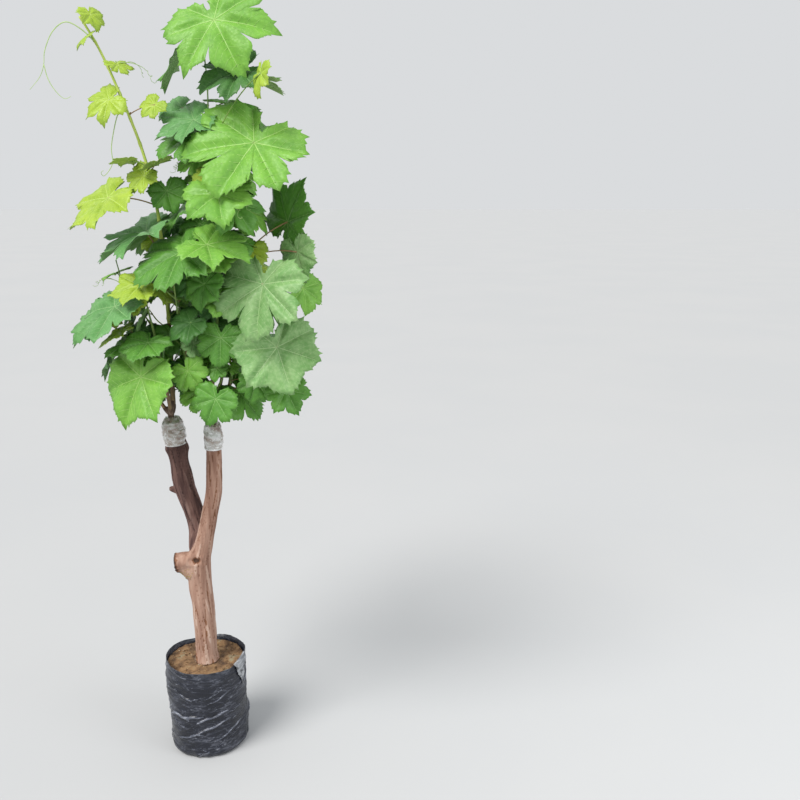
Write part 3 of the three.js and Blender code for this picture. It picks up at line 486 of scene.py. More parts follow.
# Other surfaces: colours and their places along the noise, the noise's scale for each axis, the lowest
# and highest roughness, and the relief's scale, strength and depth
SURFACES = {
    "cane_green": ([(0.35, (0.13, 0.24, 0.05)), (0.65, (0.26, 0.38, 0.09))],
                   (90, 90, 18), (0.4, 0.55), ((500, 500, 60), 0.3, 0.0005)),
    "cane_lime": ([(0.35, (0.38, 0.5, 0.07)), (0.65, (0.55, 0.66, 0.14))],
                  (90, 90, 14), (0.35, 0.5), ((500, 500, 60), 0.3, 0.0005)),
    "cane_woody": ([(0.35, (0.13, 0.075, 0.04)), (0.65, (0.27, 0.18, 0.08))],
                   (120, 120, 16), (0.55, 0.7), ((500, 500, 60), 0.4, 0.0006)),
    "stalk_pink": ([(0.35, (0.30, 0.13, 0.09)), (0.65, (0.36, 0.26, 0.10))],
                   (60, 60, 30), (0.4, 0.55), ((500, 500, 60), 0.3, 0.0005)),
    "tendril_pale": ([(0.35, (0.34, 0.5, 0.16)), (0.65, (0.46, 0.6, 0.24))],
                     (60, 60, 60), (0.45, 0.6), ((500, 500, 500), 0.2, 0.0004)),
    "bud_brown": ([(0.35, (0.16, 0.09, 0.04)), (0.65, (0.3, 0.2, 0.08))],
                  (200, 200, 200), (0.6, 0.75), ((600, 600, 600), 0.4, 0.0005)),
    "sawn_wood": ([(0.3, (0.09, 0.055, 0.035)), (0.5, (0.26, 0.17, 0.11)), (0.72, (0.42, 0.31, 0.22))],
                  (120, 260, 260), (0.85, 0.95), ((300, 700, 700), 0.7, 0.0014)),
    "lichen": ([(0.35, (0.3, 0.2, 0.07)), (0.65, (0.5, 0.38, 0.16))],
               (300, 300, 300), (0.85, 0.95), ((900, 900, 900), 0.6, 0.001)),
    "scion_bark": ([(0.3, (0.06, 0.035, 0.025)), (0.55, (0.16, 0.105, 0.07)), (0.75, (0.3, 0.22, 0.16))],
                   (140, 140, 30), (0.8, 0.95), ((500, 500, 120), 0.6, 0.001)),
    "soil": ([(0.34, (0.06, 0.034, 0.02)), (0.46, (0.16, 0.092, 0.046)), (0.56, (0.27, 0.158, 0.075)),
              (0.68, (0.27, 0.22, 0.135))], (40, 40, 40), (0.9, 1), ((330, 330, 330), 0.9, 0.0025)),
    "crumbs": ([(0.34, (0.12, 0.064, 0.032)), (0.48, (0.22, 0.126, 0.062)), (0.6, (0.3, 0.19, 0.1)),
                (0.72, (0.4, 0.33, 0.25))], (70, 70, 70), (0.9, 1), ((600, 600, 600), 0.7, 0.002)),
    "floor_paper": ([(0.4, (0.475, 0.483, 0.49)), (0.6, (0.484, 0.49, 0.495))],
                    (0.8, 0.8, 0.8), (0.9, 0.95), ((30, 30, 30), 0.05, 0.001)),
}


# Camera and light

def add_object(name, data):
    made = bpy.data.objects.new(name, data)
    bpy.context.scene.collection.objects.link(made)
    return made


def make_camera():
    data = bpy.data.cameras.new("camera")
    data.lens = CAMERA_LENS
    data.sensor_width = CAMERA_SENSOR
    data.shift_y = CAMERA_SHIFT_UP
    camera = add_object("camera", data)
    camera.location = CAMERA_PLACE
    camera.rotation_euler = (math.radians(90 - CAMERA_PITCH), 0, 0)
    bpy.context.scene.camera = camera


def light_studio():
    """A broad soft sun, a weak disk of light from the side, and a pale sky"""
    sun = bpy.data.lights.new("key_light", "SUN")
    sun.energy = SUN_STRENGTH
    sun.angle = math.radians(SUN_SPREAD)
    sun.color = SUN_COLOUR
    add_object("key_light", sun).rotation_euler = [math.radians(turn) for turn in SUN_TURN]
    disk = bpy.data.lights.new("side_light", "AREA")
    disk.shape = "DISK"
    disk.size = SIDE_LIGHT_SIZE
    disk.energy = SIDE_LIGHT_WATTS
    disk.color = SIDE_LIGHT_COLOUR
    side = add_object("side_light", disk)
    side.location = SIDE_LIGHT_PLACE
    aim = np.subtract(SIDE_LIGHT_TARGET, SIDE_LIGHT_PLACE)
    yaw = math.atan2(aim[1], aim[0]) - math.pi / 2
    side.rotation_euler = (math.atan2(math.hypot(aim[0], aim[1]), -aim[2]), 0, yaw)
    world = bpy.data.worlds.new("studio")
    world.use_nodes = True
    background = world.node_tree.nodes["Background"]
    background.inputs["Color"].default_value = (*SKY_COLOUR, 1)
    background.inputs["Strength"].default_value = 1
    bpy.context.scene.world = world
    bpy.context.scene.view_settings.view_transform = "Standard"


# Materials

def grey(value):
    return (value, value, value)


class Skin:
    """A material that is put together node by node"""

    def __init__(self, name):
        self.material = bpy.data.materials.new(name)
        self.material.use_nodes = True
        self.tree = self.material.node_tree
        self.shader = self.tree.nodes["Principled BSDF"]

    def feed(self, node, inputs):
        """Set a node's inputs, each to a value or to another node's output"""
        for socket, value in inputs.items():
            if isinstance(value, bpy.types.NodeSocket):
                self.tree.links.new(value, node.inputs[socket])
            else:
                node.inputs[socket].default_value = value

    def node(self, kind, inputs, **settings):
        made = self.tree.nodes.new(kind)
        for setting, value in settings.items():
            setattr(made, setting, value)
        self.feed(made, inputs)
        return made

    def place(self):
        """The object's own coordinates in metres"""
        return self.node("ShaderNodeTexCoord", {}).outputs["Object"]

    def noise(self, scale, detail=4, roughness=0.55, distortion=0):
        """Noise over the object's own coordinates, with a scale for each axis"""
        mapping = self.node("ShaderNodeMapping", {"Vector": self.place(), "Scale": scale})
        return self.node("ShaderNodeTexNoise", {
            "Vector": mapping.outputs["Vector"], "Scale": 1, "Detail": detail, "Roughness": roughness,
            "Distortion": distortion}).outputs["Fac"]

    def ramp(self, factor, stops):
        """Colours or greys along a factor"""
        made = self.node("ShaderNodeValToRGB", {"Fac": factor})
        while len(made.color_ramp.elements) < len(stops):
            made.color_ramp.elements.new(0.5)
        for element, (position, colour) in zip(made.color_ramp.elements, stops):
            element.position = position
            element.color = (*colour, 1)
        return made.outputs["Color"]

    def scaled(self, value, factor, added):
        inputs = {0: value, 1: factor, 2: added}
        return self.node("ShaderNodeMath", inputs, operation="MULTIPLY_ADD").outputs["Value"]

    def painted_shade_with_height(self, tone, slope, level):
        """Painted shade: a tone that falls with height, by a slope for each metre above a level"""
        parts = self.node("ShaderNodeSeparateXYZ", {"Vector": self.place()})
        above = self.node("ShaderNodeMath", {0: parts.outputs["Z"], 1: level}, operation="SUBTRACT")
        return self.scaled(above.outputs["Value"], -slope, tone)

    def colour(self, tone, colours, gloss, sockets):
        """Base colour and roughness along a tone, and the shader's plain values"""
        self.feed(self.shader, {
            "Base Color": self.ramp(tone, colours), "Roughness": self.ramp(tone, gloss), **sockets})

    def relief(self, height, strength, depth, invert=False):
        inputs = {"Height": height, "Strength": strength, "Distance": depth}
        bump = self.node("ShaderNodeBump", inputs, invert=invert)
        self.feed(self.shader, {"Normal": bump.outputs["Normal"]})


def patterned(name, colours, scale, roughness, bump, sockets=None, detail=4, bump_detail=6, fall=None):
    """Colours by stretched noise; roughness is its lowest and highest; bump is scale, strength, depth;
    fall is how much the tone sinks, as painted shade, for each metre of height, and the height where it
    doesn't change"""
    skin = Skin(name)
    tone = skin.noise(scale, detail)
    # Painted shade: darker higher up
    if fall:
        tone = skin.painted_shade_with_height(tone, *fall)
    gloss = [(0.3, grey(roughness[1])), (0.7, grey(roughness[0]))]
    skin.colour(tone, colours, gloss, sockets or {})
    bump_scale, strength, depth = bump
    skin.relief(skin.noise(bump_scale, bump_detail, 0.6), strength, depth)
    return skin.material


def surface(name, **more):
    return patterned(name, *SURFACES[name], **more)


def blistered(name, shade, face, roughness, strength):
    """Leaf skin: two greens in soft patches, with painted shade in the darker green at the edges of the
    small pillows between the finest veins
    """
    skin = Skin(name)
    inputs = {"Vector": skin.place(), "Scale": PILLOW_SCALE, "Smoothness": 0.4}
    cells = skin.node("ShaderNodeTexVoronoi", inputs, feature="SMOOTH_F1")
    # The tone falls at each pillow's edge: painted shade, over random patches
    tone = skin.scaled(cells.outputs["Distance"], -0.3, skin.noise(PATCH_SCALE, 3))
    gloss = [(0.2, grey(roughness[1])), (0.55, grey(roughness[0]))]
    skin.colour(tone, [(0.12, shade), (0.56, face)], gloss, {"Specular IOR Level": 0.32})
    skin.relief(cells.outputs["Distance"], strength, PILLOW_DEPTH, invert=True)
    return skin.material


def leaf_materials(kind, face, shade, under):
    """Upper face, between two greens, and the paler and duller underside"""
    return (blistered(f"leaf_{kind}_face", shade, face, (0.36, 0.55), 0.55),
            blistered(f"leaf_{kind}_underside", tuple(0.85 * c for c in under), under, (0.62, 0.78), 0.8))


def film(name):
    """Black film: painted glints as thin light streaks along crisp wrinkles, over patches of dust"""
    dark, glint_and_dust, spread, gloss = FILMS[name]
    skin = Skin(name)
    # Thin painted highlights where the wrinkle noise crosses its middle
    wrinkle = skin.noise((17, 17, 68), 6, 0.6, 0.35)
    slopes = ((-3, 0), (-1, 0.25), (0, 1), (1, 0.25), (3, 0))
    crest = skin.ramp(wrinkle, [(0.5 + away * spread, grey(level)) for away, level in slopes])
    dust = skin.noise((9, 9, 15), 9, 0.72)
    tone = skin.scaled(crest, 0.24, dust)
    half = tuple(mix(np.array(dark), np.array(glint_and_dust), 0.45))
    stops = [(0.42, tuple(0.6 * c for c in dark)), (0.56, dark), (0.7, half), (0.88, glint_and_dust)]
    skin.colour(tone, stops, [(0.45, grey(gloss)), (0.9, grey(0.6))], {"Specular IOR Level": 0.5})
    skin.relief(skin.noise((24, 24, 80), 6, 0.6), 0.9, 0.003)
    return skin.material


# Meshes

class Shell:
    """Points in millimetres and triangles of one piece, with a material number for each triangle"""

    def __init__(self, *first):
        self.points = []
        self.faces = []
        self.marks = []
        self.count = 0
        if first:
            self.add(*first)

    def add(self, points, faces, mark=0):
        self.points.append(points)
        self.faces.append(faces + self.count)
        self.marks.append(np.broadcast_to(mark, len(faces)))
        self.count += len(points)


def mesh_from(name, points, faces):
    mesh = bpy.data.meshes.new(name)
    mesh.vertices.add(len(points))
    mesh.vertices.foreach_set("co", (points * MM).astype(np.float32).ravel())
    mesh.loops.add(3 * len(faces))
    mesh.loops.foreach_set("vertex_index", faces.astype(np.int32).ravel())
    mesh.polygons.add(len(faces))
    mesh.polygons.foreach_set("loop_start", np.arange(0, 3 * len(faces), 3, dtype=np.int32))
    mesh.polygons.foreach_set("use_smooth", np.ones(len(faces), dtype=bool))
    mesh.update(calc_edges=True)
    return mesh


def make_piece(name, shell, materials, nodes):
    """A piece of the object that stands for CAD nodes"""
    mesh = mesh_from(name, np.concatenate(shell.points), np.concatenate(shell.faces))
    for made in materials:
        mesh.materials.append(made)
    mesh.polygons.foreach_set("material_index", np.concatenate(shell.marks).astype(np.int32))
    piece = add_object(name, mesh)
    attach(piece, "root")
    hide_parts(*nodes)


def unit(vectors):
    return vectors / np.linalg.norm(vectors, axis=-1, keepdims=True)


def mix(low, high, share):
    return low + (high - low) * share


def smooth_step(low, high, value):
    share = np.clip((value - low) / (high - low), 0, 1)
    return share * share * (3 - 2 * share)


def bump_at(distance, reach):
    """A smooth bump of height 1 that fades over a reach"""
    return np.exp(-((distance / reach) ** 2))


def square_to(vector, direction):
    """The part of a vector that lies square to a direction, at unit length"""
    return unit(vector - (vector @ direction) * direction)


def start_side(direction):
    reference = np.array([1.0, 0, 0]) if abs(direction[0]) < 0.8 else UP
    return square_to(reference, direction)


def band_faces(rings, sides, closed=False):
    """Triangles between rings of points, and from the last ring to the first where closed"""
    band = np.arange(rings if closed else rings - 1)[:, None]
    i = np.arange(sides)
    j = (i + 1) % sides
    low = band * sides
    high = (band + 1) % rings * sides
    a, b, c, d = low + i, low + j, high + j, high + i
    return np.concatenate([np.stack([a, b, c], -1), np.stack([a, c, d], -1)]).reshape(-1, 3)


def capped(rings):
    """Points and triangles over an array of rings, closed at both ends by a fan from the middle"""
    count, sides = rings.shape[:2]
    points = np.concatenate([rings.reshape(-1, 3), rings[0].mean(0)[None], rings[-1].mean(0)[None]])
    i = np.arange(sides)
    j = (i + 1) % sides
    first, last = count * sides, count * sides + 1
    low = np.stack([np.full(sides, first), j, i], -1)
    top = (count - 1) * sides
    high = np.stack([np.full(sides, last), top + i, top + j], -1)
    return points, np.concatenate([band_faces(count, sides), low, high])


def turn_angles(count):
    """Evenly spaced angles round a full turn"""
    return np.arange(count) / count * 2 * math.pi


def circle(angles, direction, side):
    """Unit steps round a direction, counted from its side"""
    return np.outer(np.cos(angles), side) + np.outer(np.sin(angles), np.cross(direction, side))


def polar(angle, reach):
    """Points of a plane by angle and distance"""
    return np.stack([reach * np.cos(angle), reach * np.sin(angle)], -1)


def round_places(angle, reach, height):
    """Points by angle, distance from the z axis and height"""
    return np.stack([np.cos(angle) * reach, np.sin(angle) * reach, np.broadcast_to(height, angle.shape)], -1)


def outward_at(degrees):
    """The level direction at a compass angle"""
    turned = math.radians(degrees)
    return np.array([math.cos(turned), math.sin(turned), 0])


def tube(points, radii, sides):
    """A closed tube along points, with a radius for each"""
    ahead = np.concatenate([points[1:], points[-1:]])
    behind = np.concatenate([points[:1], points[:-1]])
    directions = unit(ahead - behind)
    angles = turn_angles(sides)
    side = start_side(directions[0])
    rings = np.empty((len(points), sides, 3))
    for i, direction in enumerate(directions):
        side = square_to(side, direction)
        rings[i] = points[i] + circle(angles, direction, side) * radii[i]
    return capped(rings)


def noise_at(places):
    return np.array([noise.noise(place) for place in places.tolist()])


def round_noise(angles, along, waves, length, seed=0.0):
    """Noise that closes round a limb: waves is how fine it is round it, length how long it is along it"""
    places = round_places(angles, waves, along / length) + (seed, -seed, 0)
    return noise_at(places.reshape(-1, 3)).reshape(places.shape[:-1])


# The source's rule: seeded draws, smooth lines, and clearance between organs

WORD = 0xFFFFFFFF


def random_stream(seed):
    state = seed & WORD

    def draw():
        nonlocal state
        state = (state + 0x6D2B79F5) & WORD
        mixed = ((state ^ (state >> 15)) * (state | 1)) & WORD
        mixed ^= (mixed + (mixed ^ (mixed >> 7)) * (mixed | 61)) & WORD
        return (mixed ^ (mixed >> 14)) / 4294967296

    return draw


def draw_from(reach, draw):
    return mix(reach[0], reach[1], draw())


class Line:
    """A smooth line through stations of x, y, z and, for wood, radius"""

    def __init__(self, stations, steps_each=12):
        rows = np.array(stations, dtype=float)
        last = len(rows) - 1
        values = []
        for leg in range(last):
            a, b, c, d = (rows[min(max(i, 0), last)] for i in range(leg - 1, leg + 3))
            for step in range(steps_each + (leg == last - 1)):
                t = step / steps_each
                sag = 2 * a - 5 * b + 4 * c - d
                bend = -a + 3 * b - 3 * c + d
                values.append(0.5 * (2 * b + (c - a) * t + sag * t * t + bend * t * t * t))
        values = np.array(values)
        self.points = values[:, :3]
        self.radii = values[:, 3] if values.shape[1] > 3 else np.zeros(len(values))
        leaps = np.diff(self.points, axis=0)
        self.distances = np.concatenate([[0], np.cumsum(np.linalg.norm(leaps, axis=1))])
        self.directions = unit(np.concatenate([leaps[:1], leaps]))
        sides = [start_side(self.directions[1])]
        for direction in self.directions[1:]:
            sides.append(square_to(sides[-1], direction))
        self.sides = np.array(sides)
        self.length = self.distances[-1]

    def at(self, distance):
        """Point, direction, side and radius at a distance from the start"""
        i = min(max(int(np.searchsorted(self.distances, distance)), 1), len(self.points) - 1)
        before = self.distances[i - 1]
        share = min(max((distance - before) / (self.distances[i] - before), 0), 1)
        direction = unit(mix(self.directions[i - 1], self.directions[i], share))
        side = square_to(self.sides[i - 1], direction)
        return (mix(self.points[i - 1], self.points[i], share), direction, side,
                mix(self.radii[i - 1], self.radii[i], share))

    def rings(self, distances, radii, sides):
        """Rings round the line; radii holds a row of radii for each distance, or one radius each"""
        angles = turn_angles(sides)
        made = np.empty((len(distances), sides, 3))
        for i, distance in enumerate(distances):
            point, direction, side, _ = self.at(distance)
            made[i] = point + circle(angles, direction, side) * np.reshape(radii[i], (-1, 1))
        return made


class Organ:
    """Thick lines and thin triangles that stand for a leaf, cane or limb in the clearance test"""

    def __init__(self, starts, ends, thick, corners=None):
        self.starts = starts
        self.ends = ends
        self.thick = thick
        self.corners = np.zeros((0, 3, 3)) if corners is None else corners
        everything = np.concatenate([starts, ends, self.corners.reshape(-1, 3)])
        self.low = everything.min(0)
        self.high = everything.max(0)
        self.centre = (self.low + self.high) / 2
        self.radius = np.linalg.norm(everything - self.centre, axis=1).max()

    def stays_in(self, space):
        low, high = space
        return bool((self.low > low - FINE_REACH).all() and (self.high < high + FINE_REACH).all())


def lines_cross_triangles(starts, ends, reach, corners):
    """Whether a line comes nearer to a triangle's face than its reach"""
    if not len(starts) or not len(corners):
        return False
    p, q, r = corners[:, 0], corners[:, 1], corners[:, 2]
    normal = np.cross(q - p, r - p)
    flat = unit(normal)
    level = (p * flat).sum(1)
    high = starts @ flat.T - level
    low = ends @ flat.T - level
    fall = high - low
    even = np.abs(fall) < 1e-9
    t = np.where(even, 0, np.clip(high / np.where(even, 1, fall), 0, 1))
    line, face = np.nonzero(np.abs(mix(high, low, t)) <= reach[:, None])
    spot = mix(starts[line], ends[line], t[line, face][:, None])
    inside = np.ones(len(line), dtype=bool)
    for here, there in ((p, q), (q, r), (r, p)):
        inward = np.cross(normal, there - here)
        inside &= ((spot - here[face]) * inward[face]).sum(1) > 0
    return bool(inside.any())


def lines_meet(starts, ends, thick, others_from, others_to, others_thick, reach):
    """Whether two thick lines come nearer to each other than a reach"""
    along = (ends - starts)[:, None]
    other = (others_to - others_from)[None]
    between = starts[:, None] - others_from[None]
    aa, cc = (along * along).sum(-1), (other * other).sum(-1)
    ac, ab, cb = (along * other).sum(-1), (along * between).sum(-1), (other * between).sum(-1)
    spread = aa * cc - ac * ac
    slanted = spread > 1e-9
    s = np.where(slanted, np.clip((ac * cb - ab * cc) / np.where(slanted, spread, 1), 0, 1), 0)
    t = np.clip((ac * s + cb) / cc, 0, 1)
    s = np.clip((ac * t - ab) / aa, 0, 1)
    apart = np.linalg.norm(between + along * s[..., None] - other * t[..., None], axis=-1)
    return bool((apart < reach + thick[:, None] + others_thick[None]).any())


class Crowd:
    """All organs so far"""

    def __init__(self):
        self.organs = []
        self.shown = []

    def hides_shown(self, organ):
        """Whether an organ lies before a shown leaf, as the photograph sees it"""
        if not self.shown:
            return False
        hearts, rims = organ.corners[:, 0], organ.corners[:, 1]
        ways = np.concatenate([hearts[:1], rims, mix(hearts, rims, 0.5)]) - VIEWER
        parts = ("heart", "normal", "midrib", "across", "size")
        heart, normal, midrib, across, size = (
            np.array([getattr(leaf, part) for leaf in self.shown]) for part in parts)
        ahead = ((heart - VIEWER) * normal).sum(1) / (ways @ normal.T)
        spots = ahead[..., None] * ways[:, None] + VIEWER - heart
        x = (spots * midrib).sum(-1) / size
        y = (spots * across).sum(-1) / size
        return bool(((ahead > 1) & (np.hypot(x - SHOWN_MIDDLE, y) < SHOWN_REACH)).any())

    def add(self, organ):
        self.organs.append(organ)
        self.centres = np.array([other.centre for other in self.organs])
        self.radii = np.array([other.radius for other in self.organs])

    def is_clear(self, organ, reach, own=None):
        """Whether an organ keeps a reach from all others but its own cane"""
        apart = np.linalg.norm(self.centres - organ.centre, axis=1)
        near = apart <= self.radii + organ.radius + reach + CANE_BASE_RADIUS
        others = [other for other, is_near in zip(self.organs, near) if is_near and other is not own]
        if not others:
            return True
        starts, ends, thick, corners = (
            np.concatenate([getattr(other, part) for other in others])
            for part in ("starts", "ends", "thick", "corners"))
        if lines_cross_triangles(organ.starts, organ.ends, organ.thick + reach, corners):
            return False
        if lines_cross_triangles(starts, ends, thick + reach, organ.corners):
            return False
        return not lines_meet(organ.starts, organ.ends, organ.thick, starts, ends, thick, reach)


# The source's rule: leaves, canes and side shoots

def leaf_reach(angles, sinus_depth):
    """Radius of the outline at angles from the midrib, as a share of the midrib"""
    keys = [key for key, _ in LEAF_OUTLINE]
    shares = [share / sinus_depth if key in SINUSES else share for key, share in LEAF_OUTLINE]
    return np.interp(np.abs(np.degrees(angles)), keys, shares)


OUTLINE_ANGLES = np.radians(
    [key for key, _ in LEAF_OUTLINE] + [-key for key, _ in LEAF_OUTLINE[:0:-1]])


class Leaf:
    """The pose of a leaf on its stalk: the stalk's root, knee and end, and the blade's axes"""

    def __init__(self, root, azimuth, size, draw):
        outward = outward_at(azimuth + (draw() - 0.5) * AZIMUTH_SPREAD)
        rise = math.radians(draw_from(PETIOLE_RISE, draw))
        length = size * draw_from(PETIOLE_SHARE, draw)
        droop = math.radians(draw_from(BLADE_DROOP, draw))
        roll = math.radians(draw_from(BLADE_ROLL, draw))
        self.root = root
        self.size = size
        self.outward = outward
        self.heart = root + outward * length * math.cos(rise) + UP * length * math.sin(rise)
        self.knee = (root + outward * length * KNEE_SHARE * math.cos(rise)
                     + UP * length * (KNEE_SHARE * math.sin(rise) + KNEE_LIFT))
        self.normal = unit(UP * math.cos(droop) + outward * math.sin(droop) + LIGHT * LIGHT_PULL)
        level = square_to(outward - UP * math.tan(droop), self.normal)
        across = np.cross(self.normal, level)
        self.midrib = level * math.cos(roll) + across * math.sin(roll)
        self.across = np.cross(self.normal, self.midrib)
        self.curl = draw_from(BLADE_CURL, draw)
        self.fold = draw_from(BLADE_FOLD, draw)
        self.sinus_depth = draw_from(SINUS_DEPTH, draw)
        self.lobing = None
        self.kind = None

    def plain_point(self, angles, shares):
        x = self.size * shares * np.cos(angles)
        y = self.size * shares * np.sin(angles)
        lift = self.fold * np.abs(y) - self.curl * self.size * shares * shares
        return (self.heart + np.outer(x, self.midrib) + np.outer(y, self.across)
                + np.outer(lift, self.normal))

    def stalk(self, steps):
        t = np.linspace(0, 1, steps + 1)[:, None]
        return self.root * (1 - t) ** 2 + self.knee * 2 * t * (1 - t) + self.heart * t * t

    def organ(self):
        rim = self.plain_point(OUTLINE_ANGLES, leaf_reach(OUTLINE_ANGLES, self.sinus_depth))
        following = np.roll(rim, -1, axis=0)
        hearts = np.broadcast_to(self.heart, rim.shape)
        stalk = self.stalk(PETIOLE_STEPS)
        free = (stalk[0] + stalk[1]) / 2
        starts = np.concatenate([rim, hearts, [free], stalk[1:-1]])
        ends = np.concatenate([following, rim, stalk[1:]])
        thick = np.zeros(len(starts))
        thick[2 * len(rim):] = PETIOLE_RADIUS
        return Organ(starts, ends, thick, np.stack([hearts, rim, following], axis=1))


class SeenPlace:
    """A round place that the photograph sees past the leaves, such as a graft"""

    def __init__(self, middle, radius):
        self.heart = np.array(middle, dtype=float)
        self.size = radius / SHOWN_REACH
        self.normal = unit(VIEWER - self.heart)
        self.midrib = square_to(UP, self.normal)
        self.across = np.cross(self.normal, self.midrib)


class ShownLeaf(Leaf):
    """A leaf that is hung by its heart and tip"""

    def __init__(self, root, heart, tip, turn, lobing, kind, draw):
        self.root = root
        self.heart = heart
        self.size = np.linalg.norm(tip - heart)
        self.midrib = unit(tip - heart)
        facing = square_to(FACING, self.midrib)
        turned = math.radians(turn)
        self.normal = facing * math.cos(turned) + np.cross(facing, self.midrib) * math.sin(turned)
        self.across = np.cross(self.normal, self.midrib)
        away = heart - root
        self.outward = unit(np.array([away[0], away[1] - 1, 0]))
        self.knee = mix(root, heart, 0.5) + UP * SHOWN_KNEE_LIFT * np.linalg.norm(away)
        self.curl = draw_from(SHOWN_CURL, draw)
        self.fold = draw_from(BLADE_FOLD, draw)
        self.sinus_depth = 1
        self.lobing = lobing
        self.kind = kind


class Cane:
    """A shoot or side shoot with its leaves"""

    def __init__(self, line, start, radius, row, seed, leaf, young, shoot):
        self.line = line
        self.start = start
        self.length = line.length - start
        self.radius = radius
        self.row = row
        self.seed = seed
        self.leaf = leaf
        self.young = young
        self.shoot = shoot
        self.leaves = []
        self.side_shoots = []
        count = max(2, math.floor(self.length / CANE_STEP + 0.5))
        points = self.points(self.length * np.arange(count + 1) / count)
        self.organ = Organ(points[:-1], points[1:], np.full(count, float(radius)))

    def point(self, along):
        return self.line.at(self.start + along)[0]

    def points(self, places):
        return np.array([self.point(along) for along in places])

    def offers(self, leaf, organ, along, crowd, own_reach, reach):
        """Hang a leaf if it keeps clear of the cane and of its neighbours; says whether it did"""
        own = self.organ
        if lines_cross_triangles(own.starts, own.ends, own.thick + own_reach, organ.corners):
            return False
        if not crowd.is_clear(organ, reach, own):
            return False
        crowd.add(organ)
        leaf.share = along / self.length
        self.leaves.append(leaf)
        return True


def limb_organ(line):
    froms = np.arange(0, line.length, WOOD_RING_SPACING)
    ends = np.minimum(line.length, froms + WOOD_RING_SPACING)
    stations = [line.at(distance) for distance in froms]
    thick = np.array([radius for _, _, _, radius in stations]) + TAPE_THICKNESS + TAPE_BULGE["left"]
    return Organ(np.array([point for point, _, _, _ in stations]),
                 np.array([line.at(distance)[0] for distance in ends]), thick)


def size_share(share, young):
    """Size of a leaf as a share of the shoot's full leaf, by how far up the cane it grows"""
    rising = mix(LOW_LEAF_SHARE, 1, min(share / LOW_STRETCH, 1))
    falling = mix(1, YOUNG_LEAF_SHARE, min(max((share - young) / YOUNG_STRETCH, 0), 1))
    return rising * falling


def hang_leaf(cane, along, azimuth, size, seed, crowd, is_fine=False):
    """Try to hang a leaf; it is skipped where each try touches a neighbour or leaves the space"""
    root = cane.point(along)
    clearance = FINE_CLEARANCE if is_fine else LEAF_CLEARANCE
    for attempt in range(LEAF_TRIES):
        draw = random_stream(seed * 100 + attempt)
        leaf = Leaf(root, azimuth, size * (1 - TRY_SHRINK * attempt), draw)
        organ = leaf.organ()
        if organ.corners[:, :, 2].min() <= CROWN_FLOOR or crowd.hides_shown(organ):
            continue
        if is_fine and not organ.stays_in(cane.shoot["space"]):
            continue
        if cane.offers(leaf, organ, along, crowd, clearance / 2, clearance):
            return


def nearest_root(canes, heart, length):
    """The cane, and the place along it, where a stalk of about this length would start"""
    found = []
    for cane in canes:
        places = np.arange(0, cane.length, ROOT_STEP)
        points = cane.points(places)
        apart = np.linalg.norm(points - heart, axis=1)
        too_high = np.maximum(0, points[:, 2] - heart[2] + ROOT_BELOW_HEART)
        cost = np.abs(apart - length) + HIGH_ROOT_COST * too_high
        best = int(cost.argmin())
        found.append((cost[best], len(found), cane, places[best]))
    return min(found)[2:]


def hang_shown_leaves(canes, crowd):
    """Hang the shown leaves; one that touches a neighbour moves along the line of sight"""
    for number, (heart, tip, turn, lobing, kind) in enumerate(SHOWN_LEAVES):
        heart, tip = np.array(heart, dtype=float), np.array(tip, dtype=float)
        sight = unit(VIEWER - heart)
        cane, along = nearest_root(canes, heart, SHOWN_STALK * np.linalg.norm(tip - heart))
        for step in SHOWN_STEPS:
            moved = sight * step
            leaf = ShownLeaf(cane.point(along), heart + moved, tip + moved, turn, lobing, kind,
                             random_stream(SHOWN_SEED + number))
            if cane.offers(leaf, leaf.organ(), along, crowd, 1, SHOWN_CLEARANCE):
                crowd.shown.append(leaf)
                break


def steps_along(first, spacing, end):
    """Number and place of each step from the first up to an end"""
    number = 0
    while first + number * spacing <= end:
        yield number, first + number * spacing
        number += 1


def leaves_along(cane, spacing, first, crowd):
    for number, along in steps_along(first, spacing, cane.length):
        size = cane.leaf * size_share(along / cane.length, cane.young)
        hang_leaf(cane, along, cane.row + (number % 2) * 180, size, cane.seed * 100 + number, crowd)


def side_line(cane, along, azimuth, length, bends):
    """The line of a side shoot; bends are its steps out and up as shares of its length"""
    root = cane.point(along)
    outward = outward_at(azimuth)
    return Line([root] + [root + outward * length * out + UP * length * up for out, up in bends])


def laterals_along(cane, crowd):
    """Side shoots from some nodes of a cane, growing out and up"""
    for number, along in steps_along(FIRST_NODE, NODE_SPACING, cane.length * LATERAL_END):
        seed = cane.seed * 1000 + 500 + number
        if random_stream(seed + 7)() < LATERALS:
            draw = random_stream(seed)
            azimuth = cane.row + (number % 2) * 180 + LATERAL_TURN
            turned = azimuth + (draw() - 0.5) * AZIMUTH_SPREAD
            length = LATERAL_LENGTH * draw_from(SIDE_SHOOT_STRETCH, draw)
            line = side_line(cane, along, turned, length, LATERAL_BENDS)
            lateral = Cane(line, 0, LATERAL_RADIUS, azimuth + 90, seed, cane.leaf * LATERAL_LEAF_SHARE,
                           SIDE_SHOOT_YOUNG, cane.shoot)
            if crowd.is_clear(lateral.organ, LEAF_CLEARANCE, cane.organ):
                crowd.add(lateral.organ)
                leaves_along(lateral, LATERAL_NODE_SPACING, LATERAL_NODE_SPACING, crowd)
                cane.side_shoots.append(lateral)


